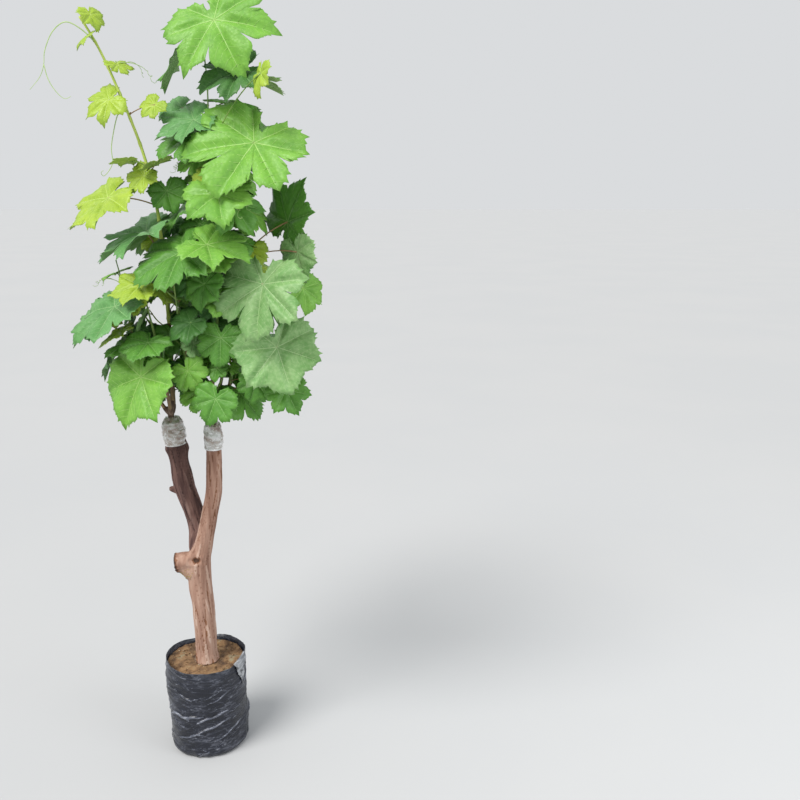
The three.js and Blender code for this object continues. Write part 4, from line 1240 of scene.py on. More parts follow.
def finer_twigs_along(cane, reach, crowd):
    """Short side shoots between the source's nodes, with small leaves, within the shoot's space"""
    first = FIRST_NODE + NODE_SPACING / 2
    for number, along in steps_along(first, NODE_SPACING, cane.length * FINE_END * reach):
        seed = cane.seed * 1000 + 700 + number
        azimuth = cane.row + 90 + number * GOLDEN_TURN
        length = FINE_LENGTH * draw_from(SIDE_SHOOT_STRETCH, random_stream(seed))
        line = side_line(cane, along, azimuth, length, FINE_BENDS)
        twig = Cane(line, 0, FINE_RADIUS, azimuth + 90, seed, FINE_TWIG_LEAF, SIDE_SHOOT_YOUNG, cane.shoot)
        is_inside = twig.organ.stays_in(cane.shoot["space"])
        if is_inside and crowd.is_clear(twig.organ, FINE_CLEARANCE, cane.organ):
            crowd.add(twig.organ)
            fill_along(twig, FINE_SPACING, FINE_TWIG_LEAF, 1, crowd)
            if twig.leaves:
                cane.side_shoots.append(twig)


def fill_along(cane, spacing, size, end, crowd):
    """Small leaves between the source's leaves, within the shoot's space"""
    for number, along in steps_along(spacing, spacing, cane.length * end + 1):
        seed = cane.seed * 100 + 60 + number
        azimuth = cane.row + 90 + number * GOLDEN_TURN
        stretch = draw_from(FILL_STRETCH, random_stream(seed))
        scaled = size * stretch * size_share(along / cane.length, cane.young)
        hang_leaf(cane, along, azimuth, scaled, seed, crowd, is_fine=True)


def cane_from(shoot):
    """A shoot's cane from its second station up, and the space that its solid takes"""
    line = Line(shoot["stations"])
    second = np.array(shoot["stations"][1])
    start = line.distances[np.linalg.norm(line.points - second, axis=1).argmin()]
    low, high = (np.array(corner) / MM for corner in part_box(shoot["name"]))
    if shoot["name"] == LEADER:
        low[0] = LEADER_LEFT
    return Cane(line, start, CANE_BASE_RADIUS, shoot["row"], shoot["seed"], shoot["leaf"],
                shoot["young"], dict(shoot, space=(low, high)))


def grow_shoots(right_line, left_line):
    canes = [cane_from(shoot) for shoot in SHOOTS]
    crowd = Crowd()
    for organ in (limb_organ(right_line), limb_organ(left_line), *(cane.organ for cane in canes)):
        crowd.add(organ)
    crowd.shown = [SeenPlace(*place) for place in SEEN_PLACES]
    hang_shown_leaves(canes, crowd)
    for cane in canes:
        leaves_along(cane, NODE_SPACING, FIRST_NODE, crowd)
    for cane in canes:
        laterals_along(cane, crowd)
    for cane in canes:
        reach = cane.shoot.get("fill", 1)
        fill_along(cane, FILL_SPACING, FILL_LEAF, FILL_END * reach, crowd)
        for branch in list(cane.side_shoots):
            fill_along(branch, FILL_SPACING, FILL_LEAF, FILL_END, crowd)
        finer_twigs_along(cane, reach, crowd)
    return canes


# Fine leaves

def fine_reach(angles, lobing):
    """Radius of the fine outline at angles from the midrib, as a share of the midrib"""
    degrees = np.abs(np.degrees(angles))
    whole = np.interp(degrees, *zip(*WHOLE))
    return mix(whole, np.interp(degrees, *zip(*LOBED)), lobing)


def toothed_margin(tooth, slots):
    """Angles of the whole margin's points, and how far each stands out as a tooth"""
    found = {math.radians(degrees): 0 for degrees in slots}
    for tip, end, teeth in TEETH:
        angles = np.radians(np.linspace(tip, end, 60))
        reach = fine_reach(angles, 1)
        path = polar(angles, reach)
        walked = np.concatenate([[0], np.cumsum(np.linalg.norm(np.diff(path, axis=0), axis=1))])
        for number in range(teeth):
            for phase, height in tooth:
                share = (number + phase) / teeth
                angle = float(np.interp(share, walked / walked[-1], angles))
                found[round(angle, 5)] = height * mix(1, 0.6, share)
        found[round(math.radians(end), 5)] = 0
    angles = sorted(found)
    heights = [found[angle] for angle in angles]
    return np.array(angles + [-a for a in angles[:0:-1]]), np.array(heights + heights[:0:-1])


MARGINS = {
    True: (*toothed_margin(FINE_TOOTH, FINE_SLOTS), FINE_RINGS),
    False: (*toothed_margin(PLAIN_TOOTH, PLAIN_SLOTS), PLAIN_RINGS),
}


class Blade:
    """The fine surface of a leaf"""

    def __init__(self, leaf, seed):
        draw = random_stream(seed)
        self.leaf = leaf
        self.phases = [draw() * 2 * math.pi for _ in range(5)]
        self.wave = MARGIN_WAVE * draw_from(WAVE_STRETCH, draw)
        self.skew = draw_from(SKEW, draw)
        self.lobing = draw_from(LOBING, draw) if leaf.lobing is None else leaf.lobing
        self.is_fine = leaf.size > (FINE_LEAF_SIZE if leaf.kind is None else FINE_SHOWN_SIZE)

    def margin(self, angles):
        """Distance of the margin without its teeth, as a share of the midrib"""
        return fine_reach(angles, self.lobing) * (1 + self.skew * np.sign(angles))

    def lift(self, x, y):
        """Height of the surface over the leaf's plane, as a share of the midrib"""
        leaf = self.leaf
        r = np.hypot(x, y)
        angle = np.arctan2(y, x)
        rise = leaf.fold * (np.sqrt(y * y + 0.0016) - 0.04) - leaf.curl * r * r
        nearest = np.full(r.shape, 9.0)
        for degrees in MAIN_VEINS:
            away = angle - math.radians(degrees)
            beside = np.where(np.cos(away) > 0, np.abs(r * np.sin(away)), r)
            nearest = np.minimum(nearest, beside)
        puffed = PUCKER * (1 - bump_at(nearest, VEIN_GROOVE)) * smooth_step(0.05, 0.3, r)
        blisters = BLISTER_HEIGHT * np.sin(19 * x + self.phases[2]) * np.sin(17 * y + self.phases[3])
        edge = self.wave * r ** 3 * np.sin(6 * angle + self.phases[0])
        sway = SWAY * r * r * np.sin(2 * angle + self.phases[1])
        return rise + puffed + blisters * smooth_step(0.1, 0.4, r) + edge + sway

    def mesh_lift(self, x, y):
        """Height of the blade's own triangles over the leaf's plane, as a share of the midrib"""
        angles, _, ring_shares = MARGINS[self.is_fine]
        spokes = np.sort(angles)
        reach = self.margin(spokes)
        rings = np.array([0, *ring_shares])
        angle = np.clip(np.arctan2(y, x), spokes[0], spokes[-1])
        k = np.clip(np.searchsorted(spokes, angle), 1, len(spokes) - 1)
        turn = (angle - spokes[k - 1]) / (spokes[k] - spokes[k - 1])
        share = np.clip(np.hypot(x, y) / mix(reach[k - 1], reach[k], turn), 0, 1)
        ring = np.clip(np.searchsorted(rings, share), 1, len(rings) - 1)
        out = (share - rings[ring - 1]) / (rings[ring] - rings[ring - 1])
        height = np.zeros(x.shape)
        for spoke, near in ((k - 1, 1 - turn), (k, turn)):
            for level, part in ((ring - 1, 1 - out), (ring, out)):
                r = reach[spoke] * rings[level]
                corner = self.lift(r * np.cos(spokes[spoke]), r * np.sin(spokes[spoke]))
                height = height + near * part * corner
        return height

    def place(self, x, y, height=None):
        leaf = self.leaf
        lift = (self.lift(x, y) if height is None else height)[..., None]
        return leaf.heart + leaf.size * (
            x[..., None] * leaf.midrib + y[..., None] * leaf.across + lift * leaf.normal)

    def mesh(self):
        """Points, triangles and marks of the blade, upper face first"""
        angles, heights, ring_shares = MARGINS[self.is_fine]
        reach = self.margin(angles)
        rim = polar(angles, reach)
        tangent = unit(np.roll(rim, -1, axis=0) - np.roll(rim, 1, axis=0))
        outward = np.stack([tangent[:, 1], -tangent[:, 0]], -1)
        teeth = heights * (1 + 0.4 * np.sin(13 * angles + self.phases[4]))
        inner = smooth_step(0.1, 0.35, reach)[:, None]
        stand = ((teeth - TOOTH_MEAN * (heights > 0)) * TOOTH_DEPTH)[:, None] * outward * inner
        shares = np.array(ring_shares)[:, None, None]
        flat = rim * shares + stand * smooth_step(0.75, 1, shares)
        count = len(rim)
        middle = self.place(flat[..., 0], flat[..., 1]).reshape(-1, 3)
        centre = self.place(np.zeros(1), np.zeros(1))
        thick = mix(BLADE_THICKNESS[0], BLADE_THICKNESS[1], np.repeat(ring_shares, count))
        half = np.concatenate([[BLADE_THICKNESS[0]], thick])[:, None] / 2 * self.leaf.normal
        sheet = np.concatenate([centre, middle])
        rings = len(ring_shares)
        i = np.arange(count)
        j = (i + 1) % count
        fan = np.stack([np.zeros(count, dtype=int), i + 1, j + 1], -1)
        bands = band_faces(rings, count)[:, ::-1] + 1
        top = np.concatenate([fan, bands])
        under = top[:, ::-1] + len(sheet)
        rim_at = (rings - 1) * count + 1
        below = rim_at + len(sheet)
        edge = np.concatenate([np.stack([rim_at + i, below + i, below + j], -1),
                               np.stack([rim_at + i, below + j, rim_at + j], -1)])
        points = np.concatenate([sheet + half, sheet - half])
        marks = np.concatenate([np.zeros(len(top)), np.ones(len(under) + len(edge))])
        return points, np.concatenate([top, under, edge]), marks

    def side_vein(self, along, root, turn):
        """A vein that leaves a main vein on one side and ends near the margin; none where it is short"""
        heading = along + turn * np.radians(54 - 60 * np.arange(SIDE_VEIN_STEPS) * SIDE_VEIN_STEP)
        foot = polar(along, root)
        points = foot + np.cumsum(polar(heading, 1), axis=0) * SIDE_VEIN_STEP
        x, y = points.T
        angle = np.arctan2(y, x)
        inside = np.hypot(x, y) < fine_reach(angle, self.lobing) * 0.95
        inside &= np.abs(angle - along) < SIDE_VEIN_SPREAD
        end = SIDE_VEIN_STEPS - 1 if inside.all() else int(np.argmin(inside))
        if end <= 4:
            return []
        kept = np.round(end * np.linspace(0, 1, 7 if self.is_fine else 3) ** 1.4).astype(int)
        return [np.concatenate([[foot], points[kept[1:]]])]

    def veins(self):
        """Main veins and side veins as rows of points in the leaf's plane"""
        mains = []
        sides = []
        for degrees in MAIN_VEINS:
            along = math.radians(degrees)
            length = float(fine_reach(np.array([along]), self.lobing)[0]) * 0.96
            mains.append(polar(along, np.linspace(0, 1, 8 if self.is_fine else 5) * length))
            count = max(2, round(length * (6.5 if self.is_fine else 3.4)))
            for k in range(count):
                root = length * (k + 0.9) / (count + 1)
                sides += self.side_vein(along, root, -1) + self.side_vein(along, root, 1)
        return np.array(mains), np.array(sides)


def rib_mesh(paths, radii, normal, sides):
    """Thin ribs along rows of points, with closed ends"""
    rows, count = paths.shape[:2]
    ahead = np.concatenate([paths[:, 1:], paths[:, -1:]], axis=1)
    behind = np.concatenate([paths[:, :1], paths[:, :-1]], axis=1)
    directions = unit(ahead - behind)
    across = unit(np.cross(directions, normal))
    raised = np.cross(across, directions)
    angles = (turn_angles(sides) + math.pi / sides)[:, None]
    around = across[:, :, None] * np.cos(angles) + raised[:, :, None] * np.sin(angles)
    points = (paths[:, :, None] + around * radii[:, None, None]).reshape(-1, 3)
    bands = band_faces(count, sides)[:, ::-1]
    fan = np.array([[0, i, i + 1] for i in range(1, sides - 1)])
    ends = np.concatenate([fan, fan[:, ::-1] + (count - 1) * sides])
    one = np.concatenate([bands, ends])
    faces = (one[None] + (np.arange(rows) * count * sides)[:, None, None]).reshape(-1, 3)
    return points, faces


def add_leaf(leaf, seed, blades, veins):
    """A blade, with its main and side veins as ribs"""
    blade = Blade(leaf, seed)
    blades.add(*blade.mesh())
    mains, sides = blade.veins()
    scale = leaf.size / 100
    for paths, radius, count in ((mains, VEIN_RADIUS, 4), (sides, SIDE_VEIN_RADIUS, 3)):
        taper = mix(1, 0.4, np.linspace(0, 1, paths.shape[1])) * radius * mix(0.3, 1, scale)
        x, y = paths[..., 0], paths[..., 1]
        placed = blade.place(x, y, blade.mesh_lift(x, y) + VEIN_RAISE / leaf.size)
        veins.add(*rib_mesh(placed, taper, leaf.normal, count))


def leaf_class(cane, leaf, seed):
    """Which colour a leaf is dealt: small leaves near the tips are young"""
    if leaf.kind is not None:
        return leaf.kind
    draw = random_stream(seed)
    if cane.shoot["name"] == LEADER and leaf.root[2] > LEADER_YOUNG_FROM:
        return "young"
    if leaf.size < YOUNG_BELOW and leaf.share > YOUNG_AFTER and draw() < YOUNG_CHANCE:
        return "young"
    bright, mid, dark, _ = cane.shoot["colours"]
    pick = draw()
    for name, share in (("bright", bright), ("mid", mid), ("dark", dark)):
        if pick < share:
            return name
        pick -= share
    # bluish_sheen and pale leaves: greens that paint a sky sheen, the pale ones partly also dust
    return "bluish_sheen" if draw() < BLUISH_SHEEN_CHANCE else "pale"


# Canes, stalks, buds and tendrils

def add_cane(cane, shell, sides, mark):
    """A cane or side shoot, thicker at its nodes, and woody at the foot of a shoot"""
    count = max(8, round(cane.length / 5))
    places = np.linspace(0, cane.length, count + 1)
    is_side = cane.start == 0
    is_stout = not is_side and cane.shoot["name"] == LEADER
    thick, thin = LEADER_RADII if is_stout else (cane.radius, FINE_TIP_RADIUS)
    first = LATERAL_NODE_SPACING if is_side else FIRST_NODE
    spacing = LATERAL_NODE_SPACING if is_side else NODE_SPACING
    to_node = (places - first + spacing / 2) % spacing - spacing / 2
    radii = mix(thick, thin, places / cane.length) * (1 + NODE_SWELL * bump_at(to_node, NODE_SWELL_REACH))
    points, faces = tube(cane.points(places), radii, sides)
    woody = (faces.min(axis=1) < WOODY_SHARE * count * sides) & (not is_side)
    shell.add(points, faces, np.where(woody, 2, mark))


def add_stalk(leaf, shell, mark):
    points = leaf.stalk(9)
    scale = mix(0.6, 1, leaf.size / 110)
    share = np.linspace(0, 1, len(points))
    radii = scale * (1.5 + bump_at(share, 0.08) + 0.5 * bump_at(1 - share, 0.1))
    shell.add(*tube(points, radii, 8), mark)


def add_bud(leaf, cane, shell):
    axis = unit(leaf.outward * 0.55 + UP)
    steps = np.linspace(0, BUD_LENGTH, len(BUD_RADII))
    points = leaf.root + leaf.outward * cane.radius * 0.4 + np.outer(steps, axis)
    shell.add(*tube(points, np.array(BUD_RADII), 8))


def tendril_path(root, outward, length, rise, curl, steps=44):
    """A tendril that grows out, sags, and coils at its end"""
    t = np.linspace(0, 1, steps + 1)
    heading = rise - TENDRIL_SAG * t
    reach = np.cumsum(np.cos(heading)) * length / steps
    height = np.cumsum(np.sin(heading)) * length / steps
    across = np.cross(UP, outward)
    coil = smooth_step(COIL_FROM, 1, t) * curl
    spin = 2 * math.pi * COIL_TURNS * np.clip(t - COIL_FROM, 0, 1) / (1 - COIL_FROM)
    return (root + np.outer(reach + coil * (np.cos(spin) - 1), outward)
            + np.outer(height + coil * np.sin(spin), UP) + np.outer(0.6 * coil * np.sin(spin + 1), across))


def tapered(points, thick, thin, sides):
    return tube(points, mix(thick, thin, np.linspace(0, 1, len(points))), sides)


def add_tendril(cane, along, azimuth, length, rise, shell):
    """A forked tendril on a cane"""
    stem = tendril_path(cane.point(along), outward_at(azimuth), length, rise, 5)
    shell.add(*tapered(stem, 1.0, 0.4, 6))
    fork = stem[len(stem) // 3]
    branch = tendril_path(fork, outward_at(azimuth + 35), length * 0.5, rise * 0.6, 3.5)
    shell.add(*tapered(branch, 0.7, 0.35, 6))


def grow_tendrils(canes):
    by_name = {cane.shoot["name"]: cane for cane in canes}
    leader = by_name[LEADER]
    root = tuple(leader.point(leader.length * TENDRIL_ROOT))
    shell = Shell()
    for stations, thick in (([root, *TENDRIL_STEM], 1.4), (TENDRIL_FORK, 1.0), (HANGING_TENDRIL, 1.2)):
        shell.add(*tapered(Line(stations, 8).points, thick, 0.45, 7))
    for name, along, azimuth, length, rise in TENDRILS:
        add_tendril(by_name[name], along, azimuth, length, rise, shell)
    return shell


def dress_shoots(canes):
    """Blades, veins, stalks, canes, buds and tendrils, each kind joined into pieces"""
    shoots = [cane.shoot["name"] for cane in canes]
    blades = {kind: Shell() for kind in LEAF_COLOURS}
    veins = {kind: Shell() for kind in LEAF_COLOURS}
    stalks, wood, buds = Shell(), Shell(), Shell()
    seed = DRESS_SEED
    for cane in canes:
        mark = 1 if cane.shoot["name"] == LEADER else 0
        for branch in (cane, *cane.side_shoots):
            add_cane(branch, wood, CANE_SIDES if branch is cane else TWIG_SIDES, mark)
            for leaf in branch.leaves:
                seed += 1
                kind = leaf_class(branch, leaf, seed)
                add_leaf(leaf, seed, blades[kind], veins[kind])
                add_stalk(leaf, stalks, 1 if random_stream(seed + 5)() < PINK_STALKS else 0)
                add_bud(leaf, branch, buds)
    for kind, colours in LEAF_COLOURS.items():
        make_piece(f"leaves_{kind}", blades[kind], leaf_materials(kind, *colours), shoots)
    for kind, (low, high) in VEIN_COLOURS.items():
        skin = patterned(f"vein_{kind}", [(0.35, low), (0.65, high)], *VEIN_GRAIN)
        make_piece(f"veins_{kind}", veins[kind], [skin], shoots)
    green = surface("cane_green")
    make_piece("leaf_stalks", stalks, [green, surface("stalk_pink")], shoots)
    make_piece("canes", wood, [green, surface("cane_lime"), surface("cane_woody")], shoots)
    make_piece("buds", buds, [surface("bud_brown")], shoots)
    make_piece("tendrils", grow_tendrils(canes), [surface("tendril_pale")], shoots)


# Wood

def remeshed(name, shells, voxel):
    """One closed skin round overlapping closed shells, as points in millimetres and triangles"""
    rough = mesh_from(name, np.concatenate(shells.points), np.concatenate(shells.faces))
    carrier = add_object(name, rough)
    remesh = carrier.modifiers.new("remesh", "REMESH")
    remesh.mode = "VOXEL"
    remesh.voxel_size = voxel * MM
    graph = bpy.context.evaluated_depsgraph_get()
    skin = bpy.data.meshes.new_from_object(carrier.evaluated_get(graph))
    points = np.empty(3 * len(skin.vertices), dtype=np.float32)
    skin.vertices.foreach_get("co", points)
    skin.calc_loop_triangles()
    faces = np.empty(3 * len(skin.loop_triangles), dtype=np.int32)
    skin.loop_triangles.foreach_get("vertices", faces)
    bpy.data.objects.remove(carrier)
    bpy.data.meshes.remove(rough)
    bpy.data.meshes.remove(skin)
    return points.reshape(-1, 3).astype(float) / MM, faces.reshape(-1, 3)


def smoothed(points, faces, rounds, weight):
    """Points pulled towards their neighbours, each by its own weight"""
    edges = np.concatenate([faces[:, [0, 1]], faces[:, [1, 2]], faces[:, [2, 0]]])
    edges = np.concatenate([edges, edges[:, ::-1]])
    counts = np.bincount(edges[:, 0], minlength=len(points))[:, None]
    for _ in range(rounds):
        sums = np.stack([np.bincount(edges[:, 0], points[edges[:, 1], k], len(points))
                         for k in range(3)], -1)
        points = points + (sums / counts - points) * weight[:, None]
    return points


def point_normals(points, faces):
    a, b, c = points[faces[:, 0]], points[faces[:, 1]], points[faces[:, 2]]
    flat = np.cross(b - a, c - a)
    sums = np.zeros_like(points)
    for k in range(3):
        for axis in range(3):
            sums[:, axis] += np.bincount(faces[:, k], flat[:, axis], len(points))
    return unit(sums)


def limb_places(points, line):
    """For each point: its distance along a limb, its angle round it, and how far out it lies"""
    fine = line.points
    nearest = np.empty(len(points), dtype=int)
    for start in range(0, len(points), 8000):
        block = points[start:start + 8000]
        nearest[start:start + 8000] = ((block[:, None] - fine[None]) ** 2).sum(-1).argmin(1)
    offset = points - fine[nearest]
    side = line.sides[nearest]
    across = np.cross(line.directions[nearest], side)
    along = line.distances[nearest] + (offset * line.directions[nearest]).sum(1)
    angle = np.arctan2((offset * across).sum(1), (offset * side).sum(1))
    return along, angle, np.linalg.norm(offset, axis=1) / line.radii[nearest]


def bark_relief(along, angle, roughness, seed):
    """Height of the bark's lumps, strips and fibres in millimetres, and how deep it is cracked"""
    lumps = 1.4 * round_noise(angle, along, 0.9, 50, seed)
    strips = 2.0 * np.abs(round_noise(angle + along / 400, along, 2.2, 140, seed + 3))
    split = (np.abs(round_noise(angle + along / 420, along, 2.4, 260, seed + 7))
             + 0.09 * np.abs(round_noise(angle, along, 2.5, 70, seed + 21)))
    cracks = bump_at(split, 0.055)
    hair = np.abs(round_noise(angle - along / 500, along, 4.6, 210, seed + 9))
    broken = smooth_step(-0.1, 0.15, round_noise(angle, along, 1.6, 130, seed + 13))
    hairs = bump_at(hair, 0.05) * broken
    fibres = 0.5 * round_noise(angle, along, 8, 60, seed + 11)
    grain = 0.2 * round_noise(angle, along, 5, 8, seed + 17)
    relief = lumps + roughness * (strips - 1.8 * cracks - 0.8 * hairs + fibres + grain)
    return relief, np.maximum(cracks, 0.75 * hairs), strips


def limb_shell(shell, line, sides=40, end=None, taper=1):
    """A closed limb up to an end, where its radius has fallen to a share"""
    end = line.length if end is None else end
    distances = np.linspace(0, end, max(3, round(end / 6)))
    radii = [line.at(distance)[3] * mix(1, taper, distance / end) for distance in distances]
    shell.add(*capped(line.rings(distances, radii, sides)))


def joined_relief(points, lines, roughness, seed):
    """Relief of limbs that run into each other, blended where they meet, and the marks of its tones"""
    places = [limb_places(points, line) for line in lines]
    nearness = np.array([np.exp(-9 * (out - 1)) for _, _, out in places])
    nearness /= nearness.sum(0)
    height, cracked, crest = np.zeros((3, len(points)))
    for i, (along, angle, _) in enumerate(places):
        relief, cracks, strips = bark_relief(along, angle, roughness[i], seed + 31 * i)
        height += nearness[i] * relief
        cracked += nearness[i] * cracks * min(roughness[i], 1)
        crest += nearness[i] * strips
    return height, np.where(cracked > 0.5, CRACK, np.where(crest > 0.95, CREST, PLAIN))


def barks(colours):
    return [patterned(name, list(zip(BARK_STOPS, tones)), *BARK_GRAIN, detail=6, fall=BARK_SHADE_FALL)
            for name, tones in colours.items()]


def tone_marks(tones, faces):
    """A tone for each triangle: that of most of its corners"""
    return np.sort(tones[faces], axis=1)[:, 1]


def sawn_end(points, normals, stub, relief, tones):
    """Growth rings on the stub's sawn face, and a ragged lip of bark round it"""
    end = points - stub.points[-1]
    way = stub.directions[-1]
    level = end @ way
    is_face = (level > -3) & (normals @ way > 0.75)
    from_axis = np.linalg.norm(np.cross(end, way), axis=1)
    rings = 0.5 * np.sin(from_axis * 1.9) + 0.7 * noise_at(points / 5)
    relief = np.where(is_face, rings - 1.2 * smooth_step(12, 3, from_axis), relief)
    lip = smooth_step(-11, -2, level) * ~is_face
    relief = relief + lip * (1.2 + 2.2 * noise_at(points / 6))
    ragged = lip + 0.5 * noise_at(points / 5)
    tones = np.where(ragged > 0.75, KNOT, np.where(ragged > 0.4, CRACK, tones))
    return relief, np.where(is_face, SAWN, tones)


def sunk_knot(points, relief, tones):
    """A dark hollow with a swollen rim below the fork"""
    away = np.linalg.norm((points - KNOT_PLACE) / KNOT_STRETCH, axis=1) / KNOT_RADIUS
    away = away * (1 + 0.3 * noise_at(points / 8))
    swollen = 1.8 + 2.4 * noise_at(points / 11)
    relief = relief - KNOT_DEPTH * bump_at(away, 1) + swollen * bump_at(away - 1.6, 0.6)
    return relief, np.where(away < 0.75, KNOT, np.where(away < 1.05, CRACK, tones))


def make_right_wood(right_line, left_line):
    """Trunk, sawn stub and right arm in one skin, with a collar round the foot of the left arm"""
    stub = Line(SAWN_STUB)
    shell = Shell()
    for limb in (right_line, stub, Line(STUB_SHOULDER)):
        limb_shell(shell, limb)
    collar_top = left_line.distances[np.argmax(left_line.points[:, 2] >= FORK_COLLAR_TOP)]
    limb_shell(shell, left_line, end=collar_top, taper=0.8)
    points, faces = remeshed("right_wood", shell, WOOD_VOXEL)
    fork = bump_at(np.linalg.norm(points - FORK_PLACE, axis=1), FORK_REACH)
    points = smoothed(points, faces, 10, WOOD_SMOOTHING + FORK_SMOOTHING * fork)
    normals = point_normals(points, faces)
    relief, tones = joined_relief(points, [right_line, stub, left_line], (1, 0.45, 1), 0.3)
    relief, tones = sawn_end(points, normals, stub, relief, tones)
    relief, tones = sunk_knot(points, relief, tones)
    foot = np.exp(-np.clip(points[:, 2] - SOIL_LEVEL, 0, None) / 14)
    relief = relief + foot * 1.5 * noise_at(points / 13)
    points = points + normals * relief[:, None]
    points[:, 2] = np.maximum(points[:, 2], TRUNK_FOOT_LEVEL)
    wood = Shell(points, faces, tone_marks(tones, faces))
    skins = [*barks(RIGHT_BARK), surface("sawn_wood", detail=6)]
    make_piece("right_wood", wood, skins, ["trunk", "right_arm"])
    return points, normals


def make_left_wood(left_line):
    """The left arm in darker bark, which paints its shade, with its pruned spur and a swollen shoulder just
    below the tape
    """
    spur = Line(PRUNED_SPUR)
    shell = Shell()
    limb_shell(shell, left_line)
    limb_shell(shell, spur, 20)
    points, faces = remeshed("left_wood", shell, WOOD_VOXEL)
    spur_root = bump_at(np.linalg.norm(points - PRUNED_SPUR[1][:3], axis=1), 22)
    points = smoothed(points, faces, 6, WOOD_SMOOTHING + SPUR_SMOOTHING * spur_root)
    relief, tones = joined_relief(points, [left_line, spur], (1.5, 1), 5.1)
    along, angle, _ = limb_places(points, left_line)
    uneven = 1 + 0.5 * np.sin(2 * angle + 1)
    (below_top, height, reach), (below_waist, depth, waist_reach) = SHOULDER_UNDER_TAPE, WAIST_UNDER_TAPE
    relief = relief + height * uneven * bump_at(along - left_line.length + below_top, reach)
    relief = relief - depth * bump_at(along - left_line.length + below_waist, waist_reach)
    points = points + point_normals(points, faces) * relief[:, None]
    wood = Shell(points, faces, tone_marks(tones, faces))
    make_piece("left_wood", wood, barks(SHADED_LEFT_BARK), ["left_arm"])


def make_lichen(points, normals):
    """Small ochre lumps on the underside of the sawn stub"""
    near = np.linalg.norm(points - LICHEN_PLACE, axis=1) < LICHEN_REACH
    places = points[near]
    ways = normals[near]
    draw = random_stream(LICHEN_SEED)
    shell = Shell()
    for _ in range(LICHEN_LUMPS):
        k = int(draw() * len(places))
        size = draw_from(LICHEN_SIZE, draw)
        shell.add(*lump(places[k] + ways[k] * size * 0.3, size, draw))
    make_piece("lichen", shell, [surface("lichen")], ["trunk"])


def lump(centre, size, draw):
    """A small uneven clod"""
    rings = np.empty((len(LUMP_RINGS), LUMP_SIDES, 3))
    stretch = np.array([draw_from(reach, draw) for reach in LUMP_STRETCH])
    for k, (height, width) in enumerate(LUMP_RINGS):
        reach = width * np.array([draw_from(LUMP_REACH, draw) for _ in range(LUMP_SIDES)])
        rings[k] = round_places(turn_angles(LUMP_SIDES) + k * 0.4, reach, height)
    points, faces = capped(rings)
    return centre + points * stretch * size, faces


# Grafts

def make_scion(name, line, canes, material):
    """A short post on the graft, with the foot of each of its canes"""
    point, direction, _, _ = line.at(line.length)
    post = point + np.outer([GAP, SCION_LENGTH / 2, SCION_LENGTH - 1], direction)
    shell = Shell(*tube(post, np.array(SCION_PROFILE) * SCION_RADIUS, 18))
    for cane in canes:
        distances = np.linspace(0, cane.start + 3, len(SPUR_PROFILE))
        path = np.array([cane.line.at(distance)[0] for distance in distances])
        shell.add(*tube(path, SPUR_RADIUS * np.array(SPUR_PROFILE), 14))
    points, faces = remeshed(name, shell, SCION_VOXEL)
    points = smoothed(points, faces, 4, np.full(len(points), 0.4))
    relief = 0.7 * noise_at(points / (3, 3, 14)) + 0.35 * noise_at(points / (1.5, 1.5, 5))
    points = points + point_normals(points, faces) * relief[:, None]
    make_piece(name + "_bark", Shell(points, faces), [material], [name])


def tape_cap(line, seed):
    """Rings of tape from the arm's shoulder in to the scion, and back under the cap"""
    point, direction, side, top_radius = line.at(line.length)
    angles = turn_angles(TAPE_SIDES)
    around = circle(angles, direction, side)

    def collar(rise, reach, uneven=0.0):
        level = np.full(TAPE_SIDES, rise)
        gather = np.sin(9 * angles + 6 * round_noise(angles, level, 1.2, 9, seed))
        gather = gather + 1.6 * round_noise(angles, level, 2.6, 6, seed + 5)
        rise_here = (rise + uneven * 0.9 * gather)[:, None]
        return point + direction * rise_here + around * (reach + uneven * gather)[:, None]

    neck = SCION_RADIUS + GAP + TAPE_THICKNESS
    shoulder = top_radius + GAP + TAPE_THICKNESS
    rings = []
    for t in np.linspace(0.15, 1, 9):
        rise = TAPE_CAP_RISE * math.sin(t * math.pi / 2) ** 1.2
        rings.append(collar(rise, mix(shoulder, neck, t ** 0.8), 1.5 * math.sin(math.pi * t)))
    rings.append(collar(TAPE_CAP_RISE, SCION_RADIUS + GAP))
    rings.append(collar(TAPE_CAP_RISE * 0.6 - 2 * TAPE_THICKNESS, SCION_RADIUS + GAP))
    rings.append(collar(GAP, top_radius - TAPE_THICKNESS))
    return rings


